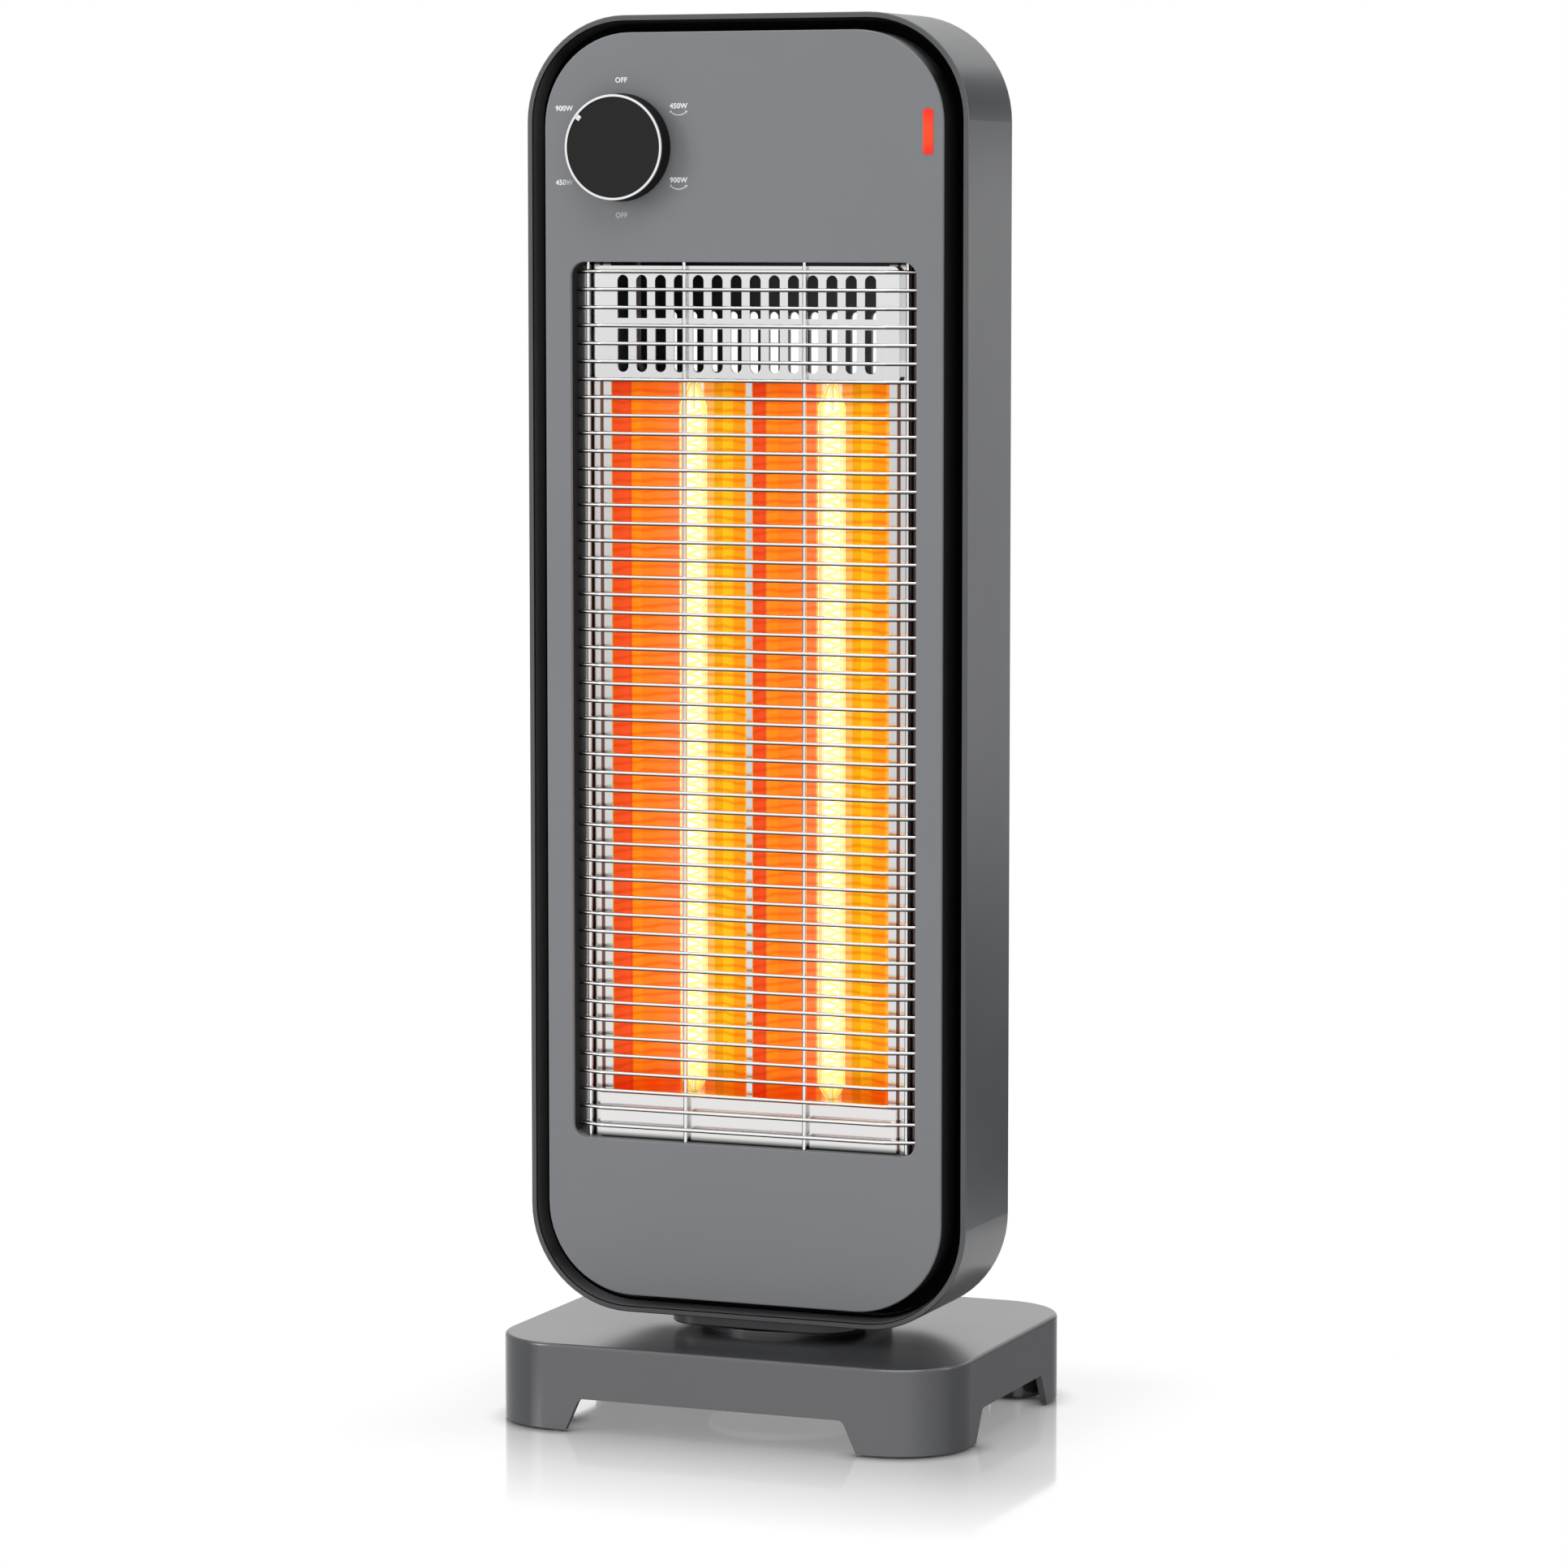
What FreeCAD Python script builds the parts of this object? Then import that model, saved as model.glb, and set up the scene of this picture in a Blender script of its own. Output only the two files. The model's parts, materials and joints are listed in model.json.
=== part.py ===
import FreeCAD, Part
import math
import os

Vec = FreeCAD.Vector

# Carbon heater: a swivelling tower with two glowing tubes, on a low base with four legs.
# Millimetres, +Z up, front towards -Y, origin on the floor under the swivel axis.

# Clearances and shared values
overrun = 6.0
seat_gap = 0.1
run_gap = 0.05
moving_gap = 0.3
touch_gap = 0.05
same_place = 0.001

# Base
base_width = 211.3
base_depth = 167.8
base_height = 37.7
base_corner_radius = 31.5
base_edge_round = 1.6
base_wall = 2.8
base_top = 3.0
arch_height = 14.7
arch_corner_round = 3.0
front_arch_floor = 133.6
front_arch_top = 120.2
side_arch_floor = 91.0
side_arch_top = 74.0

# Rubber feet
foot_proud = 1.0
foot_radius = 9.0
foot_pocket_depth = 1.5
foot_inset_x = 21.0
foot_inset_y = 21.0
foot_post_wall = 2.6
foot_core_radius = 7.0

# Swivel bearing in the base
boss_radius = 36.0
boss_height = 2.3
boss_edge_round = 0.6
hub_radius = 17.0
hub_bore_radius = 9.0
sleeve_wall = 4.0
sleeve_length = 26.0
well_radius = 32.0
well_wall = 2.2
well_bottom = 8.0
cap_radius = 32.6
cap_thickness = 3.0
cap_edge_round = 1.0
cap_screw_circle_radius = 26.4
cap_post_radius = 3.2
cap_screw_angles = (90, 205, 335)

# Turn of the tower and its stops
swing_angle = 30.0
plate_radius = 22.4
plate_thickness = 2.0
plate_screw_circle_radius = 13.0
plate_screw_count = 3
tab_width = 8.0
tab_reach = 27.4
stop_width = 4.0
stop_inner_radius = 24.0

# Gear drive
gear_module = 1.0
gear_teeth = 44
pinion_teeth = 12
addendum_share = 0.75
dedendum_share = 1.15
flank_shares = (0, 0.35, 0.6, 0.8, 1)
pressure_angle = 20.0
backlash = 0.12
gear_height = 3.8
gear_bore_radius = 18.0
gear_peg_radius = 0.7
gear_peg_length = 2.0
gear_peg_circle_radius = 19.4
gear_peg_count = 3
washer_radius = 20.4
washer_thickness = 0.6
pinion_drop = 0.5

# Neck block under the tower
neck_width = 84.0
neck_depth = 72.0
neck_corner_radius = 16.0
neck_edge_round = 0.8
gear_pocket_gap = 1.0

# Casing of the tower
casing_bottom = 45.6
casing_top = 600.0
casing_width = 200.0
casing_corner_radius = 45.0
casing_wall = 2.2
rim_front = -43.55
rim_round = 0.5
shoulder_bevel = 2.0
band_back = 11.36
rear_width = 172.0
rear_top = 586.0
rear_corner_radius = 40.0
lid_seat = 34.0
rear_back = 38.0

# Rear cover
lid_wall = 2.2
lid_edge_round = 2.0
lid_lip_depth = 4.0
lid_lip_wall = 1.6
lid_post_radius = 4.0
lid_post_length = 16.0
lid_post_inset = 9.4
lid_post_heights = (78.0, 320.0, 556.0)
rear_slot_count = 15
rear_slot_pitch = 9.57
rear_slot_width = 4.6
rear_slot_top = 474.3
rear_slot_length = 62.0
intake_slot_top = 124.0
intake_slot_length = 40.0
grip_width = 100.0
grip_height = 26.0
grip_depth = 15.0
grip_wall = 2.0
grip_centre = 528.0

# Front panel and its window
panel_front = -47.11
panel_thickness = 1.5
panel_side_margin = 9.85
panel_top_margin = 7.36
panel_bottom_margin = 8.06
panel_corner_radius = 39.0
panel_edge_round = 0.6
window_width = 156.72
window_bottom = 121.1
window_top = 496.3
window_corner_radius = 6.0

# Black frame behind the panel
frame_margin = 0.25
frame_wall = 2.0
frame_back = -28.0
lip_setback = 0.6
lip_front_inset = 2.6
lip_back_inset = 3.6
ledge_front = -34.6
ledge_inset = 5.0
channel_floor = -30.0
liner_wall = 2.0
liner_back = -38.9
frame_post_radius = 3.6
frame_post_inset = 9.2
frame_post_heights = (125.0, 322.0, 525.0)

# Wire guard
rod_count = 49
rod_radius = 0.85
rod_bottom_gap = 5.6
rod_top_gap = 3.984
rod_front = -46.0
rod_flat_length = 130.4
rod_end_slope = 0.34
rod_bend_radius = 6.0
rod_end_gap = 1.2
upright_radius = 0.9
inner_upright_x = 27.3
outer_upright_x = 72.7
upright_hole_depth = 1.5

# Reflector, plates and heat shield
sheet = 0.6
reflector_front = -38.9
reflector_bottom = 112.0
reflector_opening = 126.8
reflector_flange = 87.0
reflector_flange_top = 500.0
ridge_width = 2.6
trough_depth = 31.9
trough_shares = ((1, 0), (0.9, 0.42), (0.64, 0.8), (0.24, 1))
plate_sheet = 0.8
vent_front = -42.5
vent_width = 138.4
vent_bottom = 445.8
vent_top = 494.7
vent_corner_radius = 3.0
vent_slot_count = 14
vent_slot_pitch = 8.66
vent_slot_width = 5.0
upper_slot_top = 490.9
upper_slot_bottom = 472.6
lower_slot_top = 468.2
lower_slot_bottom = 449.8
lower_front = -42.0
lower_width = 136.0
lower_top = 140.3
plate_side_gap = 0.4
shield_front = 4.0
shield_width = 148.0
sheet_screw_x = 84.0
sheet_screw_heights = (150.0, 290.0, 425.0)
sheet_boss_radius = 2.7

# Carbon tubes
tube_x = 31.75
tube_y = -24.0
tube_radius = 5.85
tube_wall = 1.0
tube_foot_taper = 6.0
tube_head_taper = 10.5
tube_plate_gap = 0.2
stem_radius = 2.5
rod_wire_radius = 0.8
filament_radius = 2.6
filament_wire = 0.45
filament_turns = 48
filament_end = 1.0
filament_lead = 2.0
bush_radius = 6.0
bush_height = 2.8
holder_radius = 8.0
holder_height = 24.0
holder_floor = 8.0

# Knob, switch and lamp
knob_x = -54.8
knob_z = 544.4
knob_front = -56.1
knob_ring_radius = 22.15
knob_ring_width = 0.95
knob_ring_depth = 1.0
knob_face_setback = 0.35
knob_base_radius = 22.7
knob_panel_gap = 0.5
knob_wall = 1.9
knob_hub_radius = 6.0
knob_hub_gap = 0.4
pointer_angle = 142.0
pointer_length = 1.9
pointer_width = 2.2
pointer_depth = 0.6
pointer_sink = 0.35
shaft_radius = 3.0
shaft_back = -30.0
knob_shaft_depth = 1.2
switch_bush_radius = 4.5
switch_bush_front = -49.4
switch_width = 34.0
switch_height = 32.0
switch_back = -21.0
switch_corner_radius = 3.0
nut_radius = 6.5
nut_thickness = 1.8
lamp_x = 83.45
lamp_z = 550.35
lens_width = 4.3
lens_height = 18.7
lens_corner_radius = 1.2
lens_proud = 0.4
lens_flange = 1.2
lens_flange_thickness = 1.2
bulb_radius = 2.6
bulb_length = 14.0

# Motor
motor_radius = 20.0
motor_height = 15.0
motor_standoff = 5.4
motor_ear_circle_radius = 25.0
motor_ear_angle = 35.0
motor_ear_radius = 4.0
motor_ear_thickness = 1.6
motor_nose_radius = 6.0
motor_nose_height = 2.0
shaft_bore_depth = 10.0
motor_shaft_radius = 2.5
shaft_hole_gap = 0.8
motor_post_radius = 3.4

# Hub flange inside the tower
flange_half_x = 22.0
flange_half_y = 26.0
flange_corner_radius = 6.0
flange_thickness = 2.4
flange_screw_x = 15.5
flange_screw_y = 21.6
flange_screw_length = 9.0

# Screws
screw_radius = 1.45
screw_head_radius = 2.9
screw_head_height = 1.6
screw_length = 10.0
screw_cross_width = 0.8
screw_cross_length = 3.4
screw_cross_depth = 0.9

# Tip-over switch, terminals, cut-out and gland
tip_x = -41.0
tip_y = -10.0
tip_gap = 17.0
tip_plate = 1.2
tip_width = 26.0
tip_height = 49.0
tip_pivot_height = 32.0
tip_pin_radius = 1.5
tip_weight_radius = 7.0
tip_weight_length = 12.0
tip_arm_radius = 2.2
tip_arm_length = 6.0
tip_eye_radius = 4.0
tip_eye_width = 8.0
tip_switch_width = 20.0
tip_switch_height = 10.0
tip_switch_depth = 6.4
tip_lift = 3.0
tip_button_radius = 1.3
block_z = 170.0
block_width = 30.0
block_depth = 14.0
block_height = 12.0
block_hole_radius = 2.0
block_hole_count = 3
cutout_radius = 8.0
cutout_height = 6.0
cutout_z = 400.0
cutout_flange = 12.0
cutout_flange_thickness = 1.0
gland_inset = 34.0
gland_z = 68.0
gland_radius = 6.0
gland_flange_radius = 8.5
gland_flange_thickness = 2.0
gland_inner_length = 8.0
gland_bore_radius = 3.6

# Insulated leads
lead_radius = 1.1
lead_bend = 6.0
lead_side_x = 77.0
lead_side_y = 22.0
lead_drop = 8.0

# Places that follow from the sizes above
half_base_x = base_width / 2
half_base_y = base_depth / 2
base_ceiling = base_height - base_top
boss_top = base_height + boss_height
sleeve_radius = hub_radius + run_gap + sleeve_wall
sleeve_bottom = boss_top - sleeve_length
hub_end = sleeve_bottom - moving_gap
plate_bottom = hub_end - plate_thickness
gear_top = boss_top + gear_height
neck_bottom = boss_top + moving_gap
neck_ceiling = gear_top + washer_thickness
gear_pitch_radius = gear_module * gear_teeth / 2
pinion_pitch_radius = gear_module * pinion_teeth / 2
gear_tip_radius = gear_pitch_radius + addendum_share * gear_module
pinion_tip_radius = pinion_pitch_radius + addendum_share * gear_module
motor_x = gear_pitch_radius + pinion_pitch_radius
pinion_bottom = boss_top + pinion_drop
pinion_top = gear_top - pinion_drop
casing_half = casing_width / 2
rear_half = rear_width / 2
gland_x = gland_inset - rear_half
floor_top = casing_bottom + casing_wall
motor_bottom = floor_top + motor_standoff
shoulder_inner = band_back - casing_wall
panel_half = casing_half - panel_side_margin
panel_low = casing_bottom + panel_bottom_margin
panel_high = casing_top - panel_top_margin
panel_back = panel_front + panel_thickness
plate_back = panel_back + frame_wall
window_half = window_width / 2
lip_front = rim_front + lip_setback
rod_flat = rod_flat_length / 2
rod_first = window_bottom + rod_bottom_gap
rod_last = window_top - rod_top_gap
rod_pitch = (rod_last - rod_first) / (rod_count - 1)
shield_back = shield_front + sheet
block_hole_y = shield_back + block_depth / 2
reflector_back = reflector_front + sheet
shield_flange_back = reflector_back + sheet
return_half = reflector_opening / 2 - plate_side_gap
bush_seat = vent_bottom + plate_sheet
holder_seat = reflector_bottom + sheet
tube_low = lower_top + tube_plate_gap + tube_foot_taper
tube_high = vent_bottom - tube_plate_gap - tube_head_taper
knob_back = panel_front - knob_panel_gap
knob_face = knob_front + knob_face_setback
front_dir = Vec(0, -1, 0)
back_dir = Vec(0, 1, 0)
up_dir = Vec(0, 0, 1)
down_dir = Vec(0, 0, -1)
axis_point = Vec(0, 0, 0)


# Simple shapes
def rounded_edges(a_range, b_range, radius, place):
    """Edges of a rounded rectangle; place(a, b) gives each point in space."""
    a_low, a_high = a_range
    b_low, b_high = b_range
    slant = radius * math.sqrt(0.5)
    corners = (
        (a_high - radius, b_high - radius, 1, 1),
        (a_low + radius, b_high - radius, -1, 1),
        (a_low + radius, b_low + radius, -1, -1),
        (a_high - radius, b_low + radius, 1, -1),
    )
    arcs = []
    for index, (a, b, side_a, side_b) in enumerate(corners):
        side = place(a + side_a * radius, b)
        crown = place(a, b + side_b * radius)
        middle = place(a + side_a * slant, b + side_b * slant)
        arcs.append((side, middle, crown) if index % 2 == 0 else (crown, middle, side))
    edges = []
    for index, (start, middle, end) in enumerate(arcs):
        following = arcs[(index + 1) % len(arcs)][0]
        edges.append(Part.Arc(start, middle, end).toShape())
        edges.append(Part.LineSegment(end, following).toShape())
    return edges


def upright_wire(half_width, z_range, radius, y):
    return Part.Wire(rounded_edges((-half_width, half_width), z_range, radius, lambda a, b: Vec(a, y, b)))


def slab(half_width, z_range, radius, y_front, y_back):
    """Rounded rectangle standing upright, thick along Y."""
    face = Part.Face(upright_wire(half_width, z_range, radius, y_front))
    return face.extrude(Vec(0, y_back - y_front, 0))


def plan_slab(half_x, half_y, radius, z_low, z_high):
    """Rounded rectangle lying flat, thick along Z."""
    edges = rounded_edges((-half_x, half_x), (-half_y, half_y), radius, lambda a, b: Vec(a, b, z_low))
    return Part.Face(Part.Wire(edges)).extrude(Vec(0, 0, z_high - z_low))


def block(x_range, y_range, z_range):
    x_low, x_high = sorted(x_range)
    y_low, y_high = sorted(y_range)
    z_low, z_high = sorted(z_range)
    return Part.makeBox(x_high - x_low, y_high - y_low, z_high - z_low, Vec(x_low, y_low, z_low))


def rod(start, end, radius):
    return Part.makeCylinder(radius, (end - start).Length, start, end - start)


def upright(x, y, z_range, radius):
    return rod(Vec(x, y, z_range[0]), Vec(x, y, z_range[1]), radius)


def dowel(x, z, y_range, radius):
    return rod(Vec(x, y_range[0], z), Vec(x, y_range[1], z), radius)


def ring(z_range, outer, inner):
    hole = upright(0, 0, (z_range[0] - overrun, z_range[1] + overrun), inner)
    return upright(0, 0, z_range, outer).cut(hole)


def turned(shape, angle):
    copy = shape.copy()
    copy.rotate(axis_point, up_dir, angle)
    return copy


def moved(shape, x, y, z):
    copy = shape.copy()
    copy.translate(Vec(x, y, z))
    return copy


def polar(radius, angle):
    return radius * math.cos(math.radians(angle)), radius * math.sin(math.radians(angle))


def even_angles(count, first=0.0):
    return [first + 360.0 * index / count for index in range(count)]


def in_plane(axis, level):
    """Test for edges that lie at one level of an axis."""
    return lambda edge: all(abs(getattr(v.Point, axis) - level) < same_place for v in edge.Vertexes)


def softened(shape, radius, test):
    return shape.makeFillet(radius, [edge for edge in shape.Edges if test(edge)])


def joined(shapes):
    return shapes[0].multiFuse(shapes[1:]).removeSplitter()


def group(shapes):
    return Part.makeCompound(shapes)


def bent_path(points, radius):
    """Straight runs joined by tangent arcs of one radius."""
    edges = []
    start = points[0]
    for before, corner, after in zip(points, points[1:], points[2:]):
        inward = (before - corner).normalize()
        outward = (after - corner).normalize()
        half_angle = inward.getAngle(outward) / 2
        reach = radius / math.tan(half_angle)
        first = corner + inward * reach
        last = corner + outward * reach
        bisector = (inward + outward).normalize()
        middle = corner + bisector * (radius / math.sin(half_angle) - radius)
        edges.append(Part.LineSegment(start, first).toShape())
        edges.append(Part.Arc(first, middle, last).toShape())
        start = last
    edges.append(Part.LineSegment(start, points[-1]).toShape())
    return Part.Wire(edges)


def bent_rod(points, bend, radius):
    path = bent_path(points, bend)
    circle = Part.Wire(Part.makeCircle(radius, points[0], points[1] - points[0]))
    return path.makePipeShell([circle], True, False)


def screw(seat, out, length):
    """Pan-head screw: seat is under the head, out points from the shank to the head."""
    shank = rod(seat - out * length, seat, screw_radius)
    head = rod(seat, seat + out * screw_head_height, screw_head_radius)
    shape = shank.fuse(head).removeSplitter()
    side = Vec(1, 0, 0)
    across = out.cross(side)
    top = seat + out * screw_head_height
    for lengthwise, sideways in ((side, across), (across, side)):
        corner = top - lengthwise * (screw_cross_length / 2) - sideways * (screw_cross_width / 2)
        corner = corner - out * screw_cross_depth
        points = [
            corner,
            corner + lengthwise * screw_cross_length,
            corner + lengthwise * screw_cross_length + sideways * screw_cross_width,
            corner + sideways * screw_cross_width,
            corner,
        ]
        shape = shape.cut(Part.Face(Part.makePolygon(points)).extrude(out * overrun))
    return shape


# Outlines that several pieces share
def band(inset, y_front, y_back):
    """The tower's wide front outline, drawn in by an inset."""
    z_range = (casing_bottom + inset, casing_top - inset)
    return slab(casing_half - inset, z_range, casing_corner_radius - inset, y_front, y_back)


def rear_box(inset, y_front, y_back):
    """The tower's narrower rear outline, drawn in by an inset."""
    z_range = (casing_bottom + inset, rear_top - inset)
    return slab(rear_half - inset, z_range, rear_corner_radius - inset, y_front, y_back)


def panel_block(inset, y_front, y_back):
    z_range = (panel_low + inset, panel_high - inset)
    return slab(panel_half - inset, z_range, panel_corner_radius - inset, y_front, y_back)


def window_block(margin, y_front, y_back):
    z_range = (window_bottom - margin, window_top + margin)
    return slab(window_half + margin, z_range, window_corner_radius + margin, y_front, y_back)


def lens_block(margin, y_front, y_back):
    half = lens_height / 2 + margin
    bar = slab(lens_width / 2 + margin, (-half, half), lens_corner_radius + margin, y_front, y_back)
    return moved(bar, lamp_x, 0, lamp_z)


def screw_hole(seat, out, length):
    """Pilot hole with a slip gap round the shank."""
    return rod(seat - out * (length + seat_gap), seat + out * overrun, screw_radius + seat_gap)


# Base pieces
def foot_places():
    x = half_base_x - foot_inset_x
    y = half_base_y - foot_inset_y
    return [(side_x * x, side_y * y) for side_x in (-1, 1) for side_y in (-1, 1)]


def foot_posts():
    """Cored posts under the ceiling of the base that carry the feet."""
    top = base_ceiling + base_top / 2
    return [upright(x, y, (foot_proud, top), foot_radius + foot_post_wall) for x, y in foot_places()]


def arch(floor_width, top_width, run):
    """Cutter for a pair of opposite arches; run is the direction it passes through."""
    slope = (floor_width - top_width) / (2 * arch_height)
    half_low = floor_width / 2 + slope * overrun
    half_top = top_width / 2
    side = run.cross(up_dir)
    start = run * (-half_base_x - half_base_y)
    profile = ((-half_low, -overrun), (half_low, -overrun), (half_top, arch_height), (-half_top, arch_height))
    points = [start + side * across + up_dir * height for across, height in profile]
    prism = Part.Face(Part.makePolygon(points + points[:1])).extrude(start * -2)
    at_top = in_plane("z", arch_height)
    return softened(prism, arch_corner_round, lambda e: at_top(e) and e.Length > base_depth)


def cap_screw_places():
    return [polar(cap_screw_circle_radius, angle) for angle in cap_screw_angles]


def gear_peg_places():
    return [polar(gear_peg_circle_radius, angle) for angle in even_angles(gear_peg_count, 90.0)]


def stop_rib(side):
    """Rib in the well that the tab of the hub plate meets at the end of the swing."""
    spread = (tab_width + stop_width) / 2 + moving_gap
    angle = swing_angle + math.degrees(math.asin(spread / stop_inner_radius))
    rib = block(
        (stop_inner_radius, well_radius - well_wall / 2),
        (-stop_width / 2, stop_width / 2),
        (plate_bottom, base_ceiling + base_top / 2),
    )
    return turned(rib, -90.0 + side * angle)


def base_shell():
    shell = plan_slab(half_base_x, half_base_y, base_corner_radius, foot_proud, base_height)
    shell = softened(shell, base_edge_round, in_plane("z", base_height))
    hollow = plan_slab(
        half_base_x - base_wall,
        half_base_y - base_wall,
        base_corner_radius - base_wall,
        foot_proud - overrun,
        base_ceiling,
    )
    shell = shell.cut(hollow)
    shell = shell.cut([
        arch(front_arch_floor, front_arch_top, back_dir),
        arch(side_arch_floor, side_arch_top, Vec(1, 0, 0)),
    ])
    boss = upright(0, 0, (base_ceiling, boss_top), boss_radius)
    boss = softened(boss, boss_edge_round, in_plane("z", boss_top))
    inner_top = base_ceiling + base_top / 2
    added = [
        shell,
        boss,
        upright(0, 0, (sleeve_bottom, boss_top), sleeve_radius),
        ring((well_bottom, inner_top), well_radius, well_radius - well_wall),
        stop_rib(-1),
        stop_rib(1),
    ]
    added.extend(foot_posts())
    for x, y in cap_screw_places():
        added.append(upright(x, y, (well_bottom, inner_top), cap_post_radius))
    cuts = [upright(0, 0, (sleeve_bottom - overrun, boss_top + overrun), hub_radius + run_gap)]
    for x, y in cap_screw_places():
        cuts.append(screw_hole(Vec(x, y, well_bottom), down_dir, screw_length))
    for x, y in gear_peg_places():
        hole_range = (boss_top - gear_peg_length - seat_gap, boss_top + overrun)
        cuts.append(upright(x, y, hole_range, gear_peg_radius + seat_gap))
    for x, y in foot_places():
        pocket_range = (foot_proud - overrun, foot_proud + foot_pocket_depth)
        cuts.append(upright(x, y, pocket_range, foot_radius + seat_gap))
        cuts.append(upright(x, y, (foot_proud, base_ceiling), foot_core_radius))
    return joined(added).cut(cuts)


def rubber_feet():
    feet = []
    for x, y in foot_places():
        foot = upright(x, y, (0, foot_proud + foot_pocket_depth), foot_radius)
        feet.append(softened(foot, foot_proud / 2, in_plane("z", 0)))
    return group(feet)


def hub_cap():
    cap_bottom = well_bottom - cap_thickness
    cap = upright(0, 0, (cap_bottom, well_bottom), cap_radius)
    cap = softened(cap, cap_edge_round, in_plane("z", cap_bottom))
    seat = cap_bottom + screw_head_height + seat_gap
    cuts = []
    for x, y in cap_screw_places():
        cuts.append(upright(x, y, (cap_bottom - overrun, seat), screw_head_radius + seat_gap))
        cuts.append(upright(x, y, (cap_bottom, well_bottom + overrun), screw_radius + seat_gap))
    return cap.cut(cuts)


def hub_cap_screws():
    seat = well_bottom - cap_thickness + screw_head_height + seat_gap
    return group([screw(Vec(x, y, seat), down_dir, screw_length) for x, y in cap_screw_places()])


def involute(radius, base_radius):
    """Angle by which an involute has turned when it reaches a radius."""
    roll = math.sqrt(max((radius / base_radius) ** 2 - 1, 0))
    return roll - math.atan(roll)


def gear_blank(teeth, first_angle, z_range):
    """Toothed wheel round the origin, with its first tooth at an angle."""
    pitch_radius = gear_module * teeth / 2
    base_radius = pitch_radius * math.cos(math.radians(pressure_angle))
    root = pitch_radius - dedendum_share * gear_module
    tip = pitch_radius + addendum_share * gear_module
    half_tooth = math.pi / (2 * teeth) - backlash / (2 * pitch_radius)
    half_tooth = half_tooth + involute(pitch_radius, base_radius)
    flank = [root + (tip - root) * share for share in flank_shares]
    points = []
    for angle in even_angles(teeth, first_angle):
        for side, radii in ((-1, flank), (1, flank[::-1])):
            for radius in radii:
                turn = math.degrees(half_tooth - involute(radius, base_radius))
                x, y = polar(radius, angle + side * turn)
                points.append(Vec(x, y, z_range[0]))
    return Part.Face(Part.makePolygon(points + points[:1])).extrude(Vec(0, 0, z_range[1] - z_range[0]))


def fixed_gear():
    gear = gear_blank(gear_teeth, 180.0 / gear_teeth, (boss_top, gear_top))
    gear = gear.cut(upright(0, 0, (boss_top - overrun, gear_top + overrun), gear_bore_radius))
    pegs = []
    for x, y in gear_peg_places():
        pegs.append(upright(x, y, (boss_top - gear_peg_length, boss_top + gear_height / 2), gear_peg_radius))
    return joined([gear] + pegs)


def slide_washer():
    return ring((gear_top, neck_ceiling), washer_radius, gear_bore_radius)


# Swivel pieces that turn with the tower
def flange_screw_places():
    return [(side_x * flange_screw_x, side_y * flange_screw_y) for side_x in (-1, 1) for side_y in (-1, 1)]


def swivel_neck():
    neck = plan_slab(neck_width / 2, neck_depth / 2, neck_corner_radius, neck_bottom, casing_bottom)
    neck = softened(neck, neck_edge_round, in_plane("z", neck_bottom))
    low = neck_bottom - overrun
    cuts = [
        upright(0, 0, (low, casing_bottom + overrun), hub_radius + seat_gap),
        upright(0, 0, (low, neck_ceiling), gear_tip_radius + gear_pocket_gap),
        upright(motor_x, 0, (low, neck_ceiling), pinion_tip_radius + gear_pocket_gap),
        upright(motor_x, 0, (low, casing_bottom + overrun), motor_shaft_radius + shaft_hole_gap),
    ]
    seat = floor_top + flange_thickness
    for x, y in flange_screw_places():
        cuts.append(screw_hole(Vec(x, y, seat), up_dir, flange_screw_length))
    return neck.cut(cuts)


def swivel_hub():
    top = floor_top + flange_thickness
    flange = plan_slab(flange_half_x, flange_half_y, flange_corner_radius, floor_top, top)
    hub = flange.fuse(upright(0, 0, (hub_end, top), hub_radius)).removeSplitter()
    cuts = [upright(0, 0, (hub_end - overrun, top + overrun), hub_bore_radius)]
    for x, y in flange_screw_places():
        cuts.append(screw_hole(Vec(x, y, top), up_dir, flange_screw_length))
    for x, y in plate_screw_places():
        cuts.append(screw_hole(Vec(x, y, plate_bottom), down_dir, screw_length))
    return hub.cut(cuts)


def hub_flange_screws():
    seat = floor_top + flange_thickness
    return group([screw(Vec(x, y, seat), up_dir, flange_screw_length) for x, y in flange_screw_places()])


def plate_screw_places():
    return [polar(plate_screw_circle_radius, angle) for angle in even_angles(plate_screw_count, 90.0)]


def hub_plate():
    """Round plate that keeps the hub in the base; its tab meets the stops."""
    plate = upright(0, 0, (plate_bottom, hub_end), plate_radius)
    tab = block((0, tab_reach), (-tab_width / 2, tab_width / 2), (plate_bottom, hub_end))
    plate = plate.fuse(turned(tab, -90.0)).removeSplitter()
    cuts = [upright(0, 0, (plate_bottom - overrun, hub_end + overrun), hub_bore_radius)]
    for x, y in plate_screw_places():
        cuts.append(screw_hole(Vec(x, y, plate_bottom), down_dir, screw_length))
    return plate.cut(cuts)


def hub_plate_screws():
    return group([screw(Vec(x, y, plate_bottom), down_dir, screw_length) for x, y in plate_screw_places()])


# Oscillation drive
def motor_ear_places():
    places = []
    for side in (-1, 1):
        x, y = polar(motor_ear_circle_radius, side * motor_ear_angle)
        places.append((motor_x + x, y))
    return places


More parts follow.
